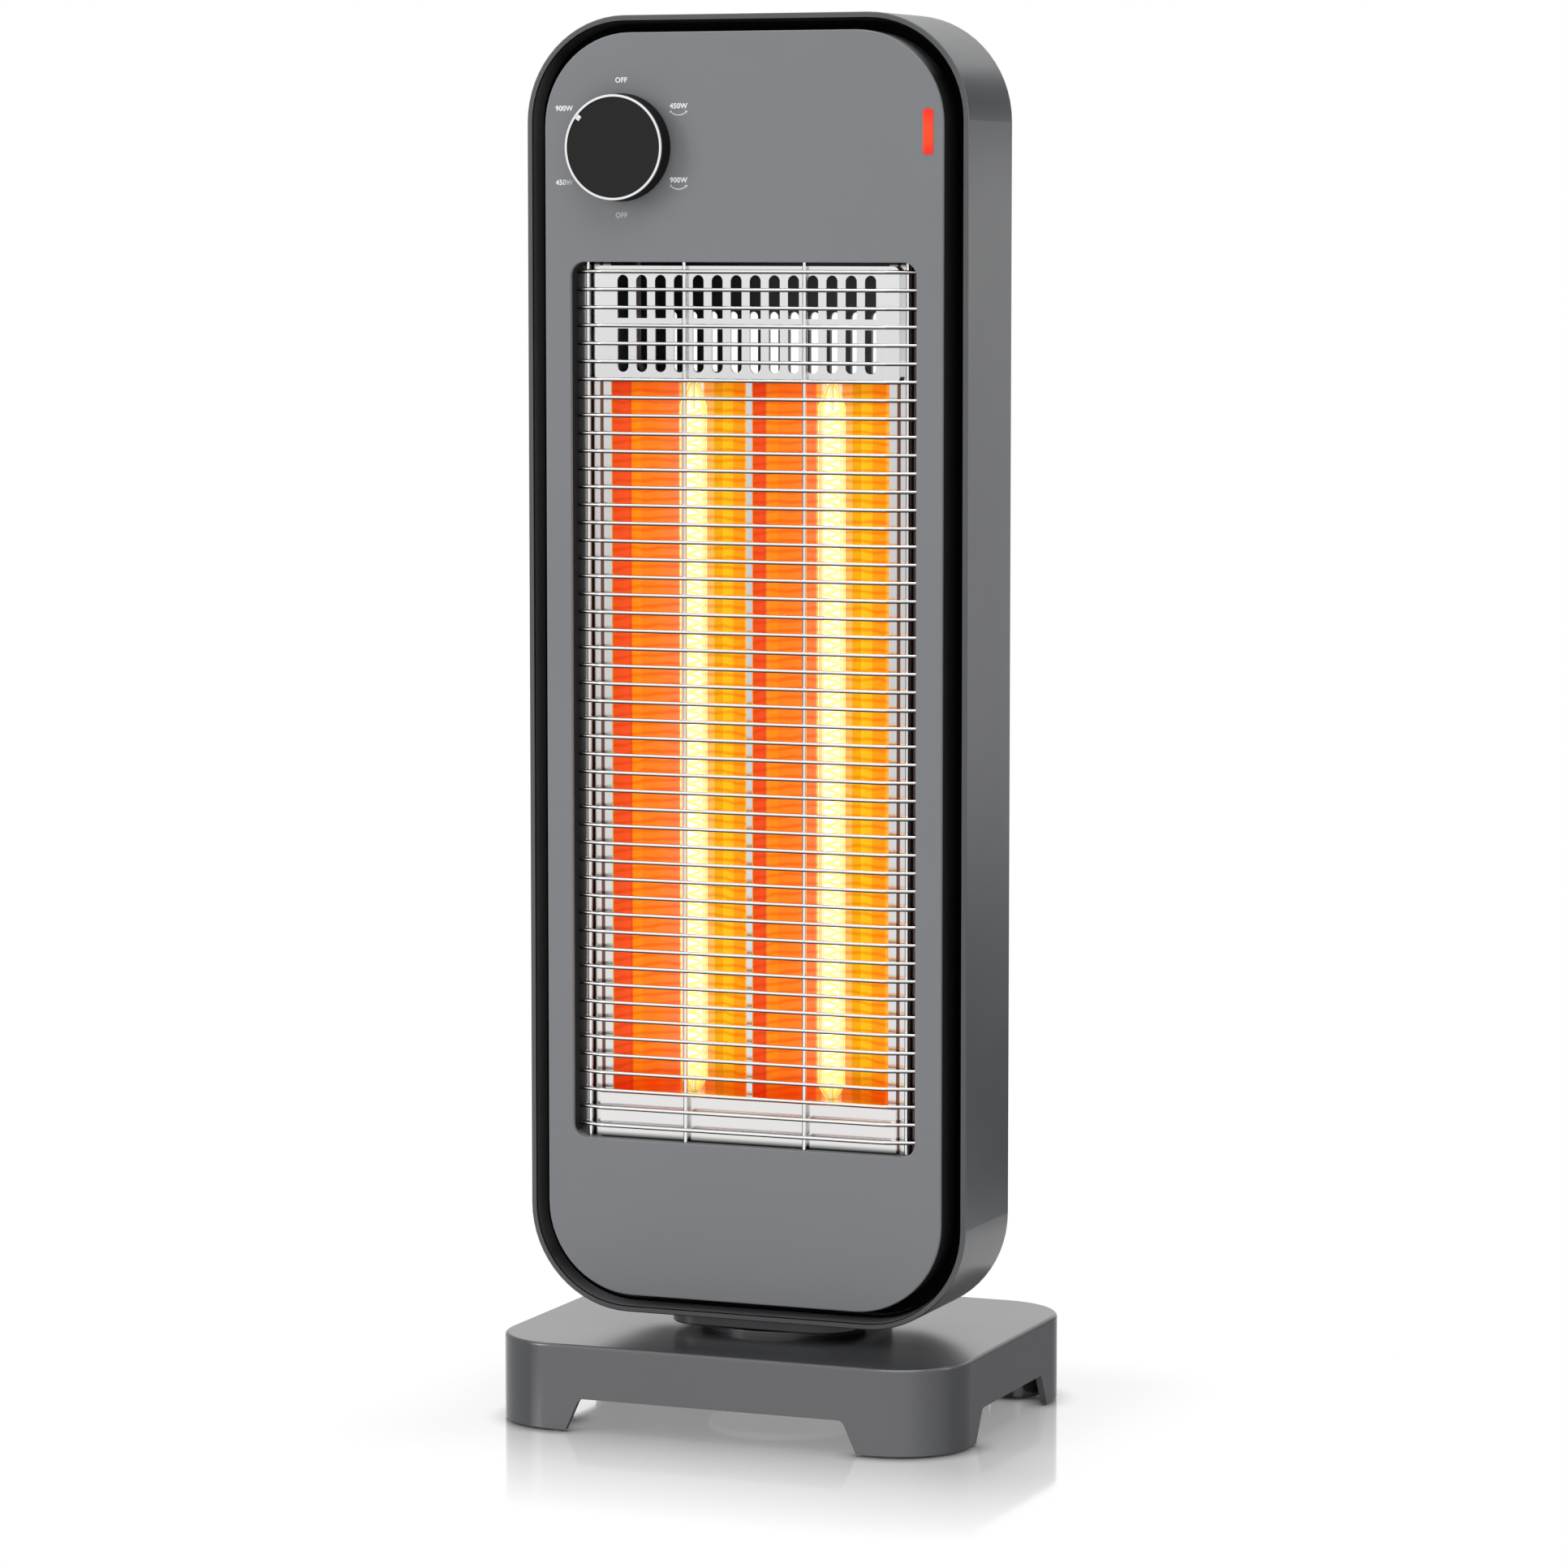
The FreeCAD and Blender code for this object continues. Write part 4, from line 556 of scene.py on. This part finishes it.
metals = {
    "steel": metal("zinc_steel", (0.56, 0.56, 0.57), gloss=0.24, spread=0.2, depth=0.08),
    "chrome_trim": metal("bright_trim", (0.88, 0.88, 0.89), gloss=0.08, spread=0.06),
    "polished_sheet": metal("polished_sheet", (0.88, 0.88, 0.885), gloss=0.10, spread=0.08),
    "plain_sheet": metal("mill_sheet", (0.62, 0.62, 0.62), gloss=0.3, spread=0.2, depth=0.1),
}
finishes.update(metals)
print("metal finishes", sorted(metals))

# %% [markdown]
# The guard's plated wires look bright along the middle and dark underneath and at their
# right ends, where the plating faces the shaded window. An even bright metal makes them
# vanish against the pale vent plate, so the tint follows the way the surface faces: a
# painted reflection, with painted shade underneath and on the bent right ends.


# %% Plated wire with painted reflection
def plated(name, axis, stops, right_end_shade):
    """Metal with a painted reflection by facing on one axis; right ends may get painted shade."""
    material = metal(name, WHITE, gloss=0.10, spread=0.1)
    tree = material.node_tree
    painted_reflection = level_by_facing(material, axis, stops)
    lean = mapped(tree, parts_of(tree, coordinates(tree, "Normal"))["X"], -0.2, 0.2)
    bent_end_shade = grey_ramp(tree, lean, ((0.575, 1.0), (0.85, right_end_shade)))
    plug(tree, shader_of(material).inputs["Base Color"], scaled(tree, painted_reflection, bent_end_shade))
    return material


# Painted reflection levels across the rods and along the uprights.
rod_reflection_levels = ((0.0, 0.03), (0.28, 0.06), (0.42, 0.45), (0.52, 0.95), (0.8, 0.95), (1.0, 0.75))
upright_reflection_levels = ((0.0, 0.06), (0.25, 0.1), (0.40, 0.85), (0.7, 0.95), (1.0, 0.95))
finishes["chrome_wire"] = plated("plated_rods", "Z", rod_reflection_levels, right_end_shade=0.7)
plated_uprights = plated("plated_uprights", "X", upright_reflection_levels, right_end_shade=1.0)
print("plated wires", finishes["chrome_wire"].name, plated_uprights.name)

# %% [markdown]
# The lower plate is the same polished sheet, but it dips behind the panel's edge, where it
# mirrors the dark room inside. Traced light finds the white studio there, so the shade is
# painted as a soft step in its tint, close to its foot.

# %% Lower plate with painted shade
painted_shade_height = 2.6 * MM
shaded_sheet = metal("shaded_sheet", WHITE, gloss=0.10, spread=0.08)
tree = shaded_sheet.node_tree
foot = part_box("lower_plate")[0].z
rising = mapped(tree, parts_of(tree, coordinates(tree))["Z"], foot, foot + painted_shade_height)
# Painted shade: the plate darkens towards its foot.
painted_shade = colour_ramp(tree, rising, (
    (0.0, (0.05, 0.055, 0.055)),
    (0.35, (0.24, 0.25, 0.25)),
    (0.8, (0.70, 0.69, 0.68)),
    (1.0, (0.83, 0.82, 0.815)),
))
plug(tree, shader_of(shaded_sheet).inputs["Base Color"], painted_shade)
print("lower plate", shaded_sheet.name, "from", round(foot, 4))

# %% [markdown]
# Behind each tube the polished trough is filled with the coil's own glow, facet by facet:
# red on the far left wall, orange and salmon towards the tube, and amber on the right.
# Tracing the glow alone leaves the mirror washed out by the white room, so the facets get
# a painted glow, a warm tint and a little light of their own, placed by where they are
# across the trough. A wave along the trough is a painted reflection of the coil's
# mirrored turns.

# %% Painted glow of the troughs
BLACK = (0.0, 0.0, 0.0)


def mixed_colour(tree, share, first, second, blend="MIX"):
    """The first colour where share is 0, the second, or their blend, where it is 1."""
    node = add_node(tree, "ShaderNodeMix", data_type="RGBA", blend_type=blend)
    plug(tree, node.inputs[0], share)
    # A Mix node's colours are its inputs 6 and 7 and its output 2.
    for socket, colour in ((node.inputs[6], first), (node.inputs[7], second)):
        plug(tree, socket, (*colour, 1.0) if isinstance(colour, tuple) else colour)
    return node.outputs[2]


trough_edge = 63.4 * MM
ridge_half = 1.3 * MM
trough_shift = 63.7 * MM
turn_pitch = 4.2 * MM
wave_rate = 20.0  # radians of a Wave texture per unit of its scale
glow_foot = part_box("lower_plate")[1].z
glow_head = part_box("vent_plate")[0].z + 9.5 * MM

trough_metal, tree, shader = new_material("glowing_trough")
spot = coordinates(tree)
x, y, z = parts_of(tree, spot)
on_right = maths(tree, "GREATER_THAN", x, 0.0)
across = maths(tree, "MULTIPLY_ADD", on_right, -trough_shift, x)
# Painted glow: warm colours and light placed across the trough.
painted_glow_bands = colour_ramp(tree, mapped(tree, across, -trough_edge, -ridge_half), (
    (0.000, (0.56, 0.065, 0.014)),
    (0.045, (0.64, 0.050, 0.008)),
    (0.052, (0.45, 0.035, 0.006)),
    (0.056, (0.70, 0.190, 0.008)),
    (0.095, (0.70, 0.205, 0.008)),
    (0.105, (0.74, 0.165, 0.012)),
    (0.190, (0.78, 0.185, 0.020)),
    (0.300, (0.78, 0.170, 0.060)),
    (0.310, (0.80, 0.560, 0.100)),
    (0.330, (0.80, 0.480, 0.090)),
    (0.346, (1.00, 0.960, 0.800)),
    (0.470, (1.00, 0.960, 0.800)),
    (0.478, (0.78, 0.400, 0.090)),
    (0.546, (0.78, 0.400, 0.080)),
    (0.553, (0.56, 0.305, 0.004)),
    (0.612, (0.58, 0.310, 0.004)),
    (0.618, (0.72, 0.430, 0.012)),
    (0.708, (0.72, 0.400, 0.012)),
    (0.716, (0.74, 0.280, 0.008)),
    (1.000, (0.72, 0.220, 0.008)),
))
# Painted shade: the glow darkens towards the trough's top and foot.
rise = colour_ramp(tree, mapped(tree, z, glow_foot, glow_head), (
    (0.0, (0.80, 0.22, 0.06)),
    (0.031, (0.90, 0.80, 0.70)),
    (0.069, WHITE),
    (0.925, WHITE),
    (0.968, (0.82, 0.55, 0.5)),
    (0.985, (0.2, 0.05, 0.02)),
    (1.0, BLACK),
))
# Painted reflection: notches along the trough for the coil's mirrored turns.
wave_scale = math.tau / (wave_rate * turn_pitch)
turns = add_node(tree, "ShaderNodeTexWave", Scale=wave_scale, Distortion=2.5, Detail=1.0)
turns.bands_direction = "Z"
plug(tree, turns.inputs["Vector"], spot)
painted_turn_notches = colour_ramp(tree, turns.outputs[0], ((0.0, (0.90, 0.66, 0.5)), (0.5, WHITE)))
glow = mixed_colour(tree, 1.0, painted_glow_bands, rise, "MULTIPLY")
glow = mixed_colour(tree, 1.0, glow, painted_turn_notches, "MULTIPLY")
print("glow from", round(glow_foot, 4), "to", round(glow_head, 4))

# %% [markdown]
# The reflector's flanges stay plain metal, which mirrors the dark window wall and the
# guard's uprights as upright stripes. A traced mirror shows the white room instead, so the
# stripes are a painted reflection, placed by their distance from the middle, and the
# flange's top gets a painted shade. The glow belongs to what lies deeper than the troughs'
# mouth, so the two are joined by depth.

# %% Flanges of the reflector
flange_seen = 16.0 * MM
lift_start, lift_end = -73.8 * MM, -74.8 * MM
top_shade_start, top_shade_end = 494.0 * MM, 495.5 * MM
shade_under_top = 0.03
trough_mouth = -38.2 * MM

from_middle = maths(tree, "ABSOLUTE", x)
# Painted reflection: stripes of the dark window wall and the guard's uprights.
painted_reflection_stripes = colour_ramp(tree, mapped(tree, from_middle, trough_edge, trough_edge + flange_seen), (
    (0.00, (0.80, 0.80, 0.80)),
    (0.21, (0.80, 0.80, 0.80)),
    (0.23, (0.20, 0.09, 0.06)),
    (0.31, (0.20, 0.09, 0.06)),
    (0.33, (0.80, 0.80, 0.80)),
    (0.48, (0.78, 0.78, 0.78)),
    (0.50, (0.09, 0.06, 0.055)),
    (0.70, (0.10, 0.07, 0.065)),
    (0.78, (0.06, 0.06, 0.06)),
    (0.83, (0.13, 0.125, 0.12)),
))
# Painted reflection: a pale band on the far left of the flange.
far_left = mapped(tree, x, lift_start, lift_end)
flange = mixed_colour(tree, far_left, painted_reflection_stripes, (0.85, 0.82, 0.80))
# Painted shade: the flange darkens near its top.
flange = scaled(tree, flange, mapped(tree, z, top_shade_start, top_shade_end, 1.0, shade_under_top))
inside = maths(tree, "GREATER_THAN", y, trough_mouth)
shader.inputs["Metallic"].default_value = 1.0
shader.inputs["Emission Strength"].default_value = 1.3
plug(tree, shader.inputs["Base Color"], mixed_colour(tree, inside, flange, (0.12, 0.02, 0.004)))
plug(tree, shader.inputs["Emission Color"], mixed_colour(tree, inside, BLACK, glow))
plug(tree, shader.inputs["Roughness"], streaked(tree, gloss=0.12, spread=0.1)["Roughness"])
print("reflector", trough_metal.name)

# %% [markdown]
# The quartz tubes are clear glass that looks almost white when lit, because the glare of
# the coil fills them. A bloom filter is a camera trick, so the glass itself carries a
# painted glare, a faint warm light over its clear body. The lamp's neon bulb is glass too.


# %% Tube and bulb glass
def hazed(tree, scale, low, high):
    """A roughness that wanders between two levels, as on drawn glass."""
    return mapped(tree, noise(tree, coordinates(tree), scale), 0.0, 1.0, low, high)


glass_foot, glass_head = 140.0 * MM, 447.0 * MM
quartz, tree, shader = new_material("quartz_tube")
shader.inputs["Base Color"].default_value = (1.0, 0.97, 0.90, 1.0)
shader.inputs["Transmission Weight"].default_value = 1.0
shader.inputs["IOR"].default_value = 1.2
shader.inputs["Emission Strength"].default_value = 1.0
height = mapped(tree, parts_of(tree, coordinates(tree))["Z"], glass_foot, glass_head)
# Painted glare: the glass's own faint light, changing along the tube.
painted_glare = colour_ramp(tree, height, (
    (0.00, (0.10, 0.09, 0.01)),
    (0.02, (0.24, 0.21, 0.06)),
    (0.05, (0.16, 0.14, 0.09)),
    (0.93, (0.16, 0.14, 0.09)),
    (0.97, (0.22, 0.20, 0.06)),
    (1.00, (0.10, 0.09, 0.01)),
))
plug(tree, shader.inputs["Emission Color"], painted_glare)
plug(tree, shader.inputs["Roughness"], hazed(tree, scale=90.0, low=0.01, high=0.06))
finishes["tube_glass"] = quartz

bulb_glass, tree, shader = new_material("neon_bulb")
shader.inputs["Base Color"].default_value = (1.0, 0.75, 0.65, 1.0)
shader.inputs["Transmission Weight"].default_value = 1.0
shader.inputs["Emission Color"].default_value = (1.0, 0.2, 0.06, 1.0)
shader.inputs["Emission Strength"].default_value = 0.8
plug(tree, shader.inputs["Roughness"], hazed(tree, scale=200.0, low=0.02, high=0.15))
finishes["lamp_glass"] = bulb_glass
print("glass", quartz.name, bulb_glass.name)

# %% [markdown]
# The bar lamp's lens is red plastic lit from behind, brightest in its middle and darker
# along its border. Tracing the bulb through it would be slow and noisy, so the lens
# carries its own light.

# %% Lamp lens
bar_low, bar_high = 541.0 * MM, 559.7 * MM
border_tint = (0.45, 0.3, 0.3)
lens_low, lens_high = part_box("indicator_lens")
lens_red, tree, shader = new_material("lamp_lens")
shader.inputs["Base Color"].default_value = (0.75, 0.02, 0.01, 1.0)
shader.inputs["Roughness"].default_value = 0.18
shader.inputs["Specular IOR Level"].default_value = 0.25
shader.inputs["Emission Strength"].default_value = 0.64
parts = parts_of(tree, coordinates(tree))
bar = colour_ramp(tree, mapped(tree, parts["Z"], bar_low, bar_high), (
    (0.0, (1.0, 0.012, 0.010)),
    (0.25, (1.0, 0.075, 0.020)),
    (0.6, (1.0, 0.100, 0.022)),
    (1.0, (1.0, 0.020, 0.012)),
))
border = colour_ramp(tree, mapped(tree, parts["X"], lens_low.x, lens_high.x), (
    (0.0, border_tint),
    (0.16, WHITE),
    (0.84, WHITE),
    (1.0, border_tint),
))
plug(tree, shader.inputs["Emission Color"], mixed_colour(tree, 1.0, bar, border, "MULTIPLY"))
finishes["red_lens"] = lens_red
print("lens", lens_red.name)

# %% [markdown]
# The carbon glows yellow, a little unevenly along its length. One flat colour would look
# like paint, so noise moves it between two yellows.

# %% Glow of the coils
coil_glow, tree, shader = new_material("glowing_coil")
shader.inputs["Base Color"].default_value = (0.9, 0.4, 0.1, 1.0)
shader.inputs["Roughness"].default_value = 0.8
shader.inputs["Emission Strength"].default_value = 1.15
flicker = noise(tree, coordinates(tree), scale=260.0)
heat = colour_ramp(tree, flicker, ((0.3, (1.0, 0.78, 0.05)), (0.6, (1.0, 0.88, 0.12))))
plug(tree, shader.inputs["Emission Color"], heat)
finishes["carbon"] = coil_glow
print("coil glow", coil_glow.name)

# %% [markdown]
# The glowing coil is the heart of the heater: a fine carbon winding with many close
# turns. A plain glowing rod would do from across a room, but up close the turns show, so
# the winding is spun: a small ring is turned about the tube's axis while it climbs.

# %% Glowing coils
winding_turns = 72
winding_radius = 2.7 * MM
wire_radius = 0.6 * MM
lead = 1.2 * MM
steps_per_turn = 14


def coil(name, node):
    """A spun winding that stands where the node's plain one does."""
    low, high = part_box(node)
    axis = Vector(((low.x + high.x) / 2, (low.y + high.y) / 2, low.z))
    side = Vector((winding_radius, 0.0, 0.0))
    rise = (high.z - low.z) - 2 * lead
    steps = winding_turns * steps_per_turn
    shape = bmesh.new()
    ring = bmesh.ops.create_circle(shape, segments=5, radius=wire_radius)
    upright = Matrix.Rotation(math.pi / 2, 3, "X")
    bmesh.ops.rotate(shape, verts=ring["verts"], matrix=upright)
    start = axis + side + Vector((0.0, 0.0, lead))
    bmesh.ops.translate(shape, verts=ring["verts"], vec=start)
    bmesh.ops.spin(
        shape,
        geom=shape.verts[:] + shape.edges[:],
        cent=axis,
        axis=(0.0, 0.0, 1.0),
        dvec=(0.0, 0.0, rise / steps),
        angle=math.tau * winding_turns,
        steps=steps,
        use_merge=False,
        use_duplicate=False,
    )
    for stub_z in (low.z, high.z - lead):
        stub = bmesh.ops.create_cone(
            shape, segments=6, radius1=wire_radius, radius2=wire_radius, depth=lead, cap_ends=True
        )
        spot = Vector((axis.x, axis.y, stub_z + lead / 2)) + side
        bmesh.ops.translate(shape, verts=stub["verts"], vec=spot)
    bmesh.ops.recalc_face_normals(shape, faces=shape.faces)
    mesh = bpy.data.meshes.new(name)
    shape.to_mesh(mesh)
    shape.free()
    mesh.shade_smooth()
    mesh.materials.append(coil_glow)
    piece = bpy.data.objects.new(name, mesh)
    bpy.context.scene.collection.objects.link(piece)
    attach(piece, "tower")
    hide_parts(node)
    print(name, "turns", winding_turns, "faces", len(mesh.polygons))
    return piece


coil("left_winding", "left_filament")
coil("right_winding", "right_filament")

# %% [markdown]
# Every solid now gets the finish of the slot that its record names. Dressing them one by
# one would repeat the record, so a loop looks each one up. Five pieces share a slot but
# carry painted light or shade of their own (the reflector's glow and stripes, the frame's
# walls, the uprights' reflection, the knob's side and the lower plate's foot), so they
# have a finish of their own.

# %% Dress the solids
own_finish = {
    "reflector": trough_metal,
    "front_frame": frame_black,
    "guard_uprights": plated_uprights,
    "knob_body": knob_black,
    "lower_plate": shaded_sheet,
}
for entry in frame["record"]["subparts"]:
    finish = own_finish.get(entry["node"], finishes[entry["material_slot"]])
    piece = nodes[entry["node"]]
    piece.data.materials.clear()
    piece.data.materials.append(finish)

# %% [markdown]
# The settings round the knob are printed in white ink. In the picture two of them are
# paler, one all over and one towards its right end. Ink could be a plain white, but it
# has a grain as the plastics do, so it is made as they are, and the last one fades.

# %% Inks
ink_white = (0.95, 0.95, 0.95)
fade_start, fade_end = -83.5 * MM, -77.5 * MM
faded = 0.42
ink = moulded("white_ink", ink_white, gloss=0.5, mottle=0.05, depth=0.02)
# This ink is a paler grey all over.
faint_ink = moulded("pale_ink", (0.52, 0.53, 0.54), gloss=0.5, mottle=0.1, depth=0.02)
fading_ink = moulded("fading_ink", ink_white, gloss=0.5, mottle=0.05, depth=0.02)
tree = fading_ink.node_tree
across = parts_of(tree, coordinates(tree))["X"]
dim_colour(fading_ink, mapped(tree, across, fade_start, fade_end, 1.0, faded))
print("inks", [m.name for m in (ink, faint_ink, fading_ink)])

# %% [markdown]
# The settings say off, and two heat levels with and without the swivel. Ink has almost no
# thickness, so each word is text made into a thin mesh and laid on the panel; a painted
# texture would need the panel to be unwrapped.

# %% Printed settings
panel_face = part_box("front_panel")[0].y
knob_low, knob_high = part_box("knob_ring")
knob_x = (knob_low.x + knob_high.x) / 2
knob_z = (knob_low.z + knob_high.z) / 2
lay_upright = Matrix.Rotation(math.pi / 2, 4, "X")
ink_lift = 0.03 * MM
ink_thickness = 0.02 * MM
letter_size = 3.0 * MM
letter_weight = 0.1 * MM


def put_ink(name, mesh, x, z, paint):
    """Stand a flat mesh upright on the panel, centred on a place."""
    xs = [v.co.x for v in mesh.vertices]
    ys = [v.co.y for v in mesh.vertices]
    middle = Vector(((min(xs) + max(xs)) / 2, (min(ys) + max(ys)) / 2, 0.0))
    mesh.transform(Matrix.Translation(-middle))
    mesh.transform(lay_upright)
    mesh.transform(Matrix.Translation(Vector((x, panel_face - ink_lift, z))))
    mesh.materials.clear()
    mesh.materials.append(paint)
    piece = bpy.data.objects.new(name, mesh)
    bpy.context.scene.collection.objects.link(piece)
    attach(piece, "tower")
    return piece


def word(name, text, x, z, paint):
    """A printed word made from a text curve."""
    curve = bpy.data.curves.new(name, "FONT")
    curve.body = text
    curve.size = letter_size
    curve.extrude = ink_thickness
    curve.offset = letter_weight
    curve.space_character = 1.06
    holder = bpy.data.objects.new(name + "_text", curve)
    bpy.context.scene.collection.objects.link(holder)
    bpy.context.view_layer.update()
    shown = holder.evaluated_get(bpy.context.evaluated_depsgraph_get())
    mesh = bpy.data.meshes.new_from_object(shown)
    bpy.data.objects.remove(holder)
    mesh.name = name
    return put_ink(name, mesh, x, z, paint)


side_words = 26.3
legend = (
    ("off_top", "OFF", 0.0, 28.3, ink),
    ("low_swivel", "450W", side_words, 17.3, ink),
    ("high_swivel", "900W", side_words, -13.7, ink),
    ("off_bottom", "OFF", 0.0, -28.4, faint_ink),
    ("low_still", "450W", -side_words, -14.6, fading_ink),
    ("high_still", "900W", -side_words, 16.6, ink),
)
for name, text, dx, dz, paint in legend:
    word("print_" + name, text, knob_x + dx * MM, knob_z + dz * MM, paint)
print("printed words", len(legend))

# %% [markdown]
# Under two of the settings a bent double arrow stands for the swivel. It could be drawn as
# a curve, but a short edge spun through part of a turn gives an even bow in one step. Its
# tips are three-sided discs.

# %% Swivel arrows
bow_radius = 5.2 * MM
bow_width = 0.32 * MM
bow_half_angle = math.radians(42)
tip_radius = 0.75 * MM
tip_lean = math.radians(8)
right_angle = math.radians(90)


def swivel_arrow(name, x, z):
    """A shallow bow with a tip at each end, printed on the panel."""
    middle = (0.0, 0.0, 0.0)
    shape = bmesh.new()
    inner = shape.verts.new((0.0, -bow_radius + bow_width / 2, 0.0))
    outer = shape.verts.new((0.0, -bow_radius - bow_width / 2, 0.0))
    shape.edges.new((inner, outer))
    turn = Matrix.Rotation(-bow_half_angle, 3, "Z")
    bmesh.ops.rotate(shape, verts=shape.verts[:], cent=middle, matrix=turn)
    bmesh.ops.spin(
        shape,
        geom=shape.verts[:] + shape.edges[:],
        cent=middle,
        axis=(0.0, 0.0, 1.0),
        angle=2 * bow_half_angle,
        steps=16,
    )
    for side in (-1, 1):
        tip = bmesh.ops.create_circle(shape, cap_ends=True, segments=3, radius=tip_radius)
        heading = side * (bow_half_angle + right_angle + tip_lean) + 3 * right_angle
        turn = Matrix.Rotation(heading, 3, "Z")
        bmesh.ops.rotate(shape, verts=tip["verts"], cent=middle, matrix=turn)
        end = Vector((math.sin(bow_half_angle) * side, -math.cos(bow_half_angle), 0.0))
        bmesh.ops.translate(shape, verts=tip["verts"], vec=end * bow_radius)
    extruded = bmesh.ops.extrude_face_region(shape, geom=shape.faces[:])
    raised = [g for g in extruded["geom"] if isinstance(g, bmesh.types.BMVert)]
    bmesh.ops.translate(shape, verts=raised, vec=(0.0, 0.0, ink_thickness))
    bmesh.ops.recalc_face_normals(shape, faces=shape.faces)
    mesh = bpy.data.meshes.new(name)
    shape.to_mesh(mesh)
    shape.free()
    return put_ink(name, mesh, x, z, ink)


for name, dz in (("print_low_arrow", 14.4), ("print_high_arrow", -16.6)):
    swivel_arrow(name, knob_x + side_words * MM, knob_z + dz * MM)
print("arrows printed")
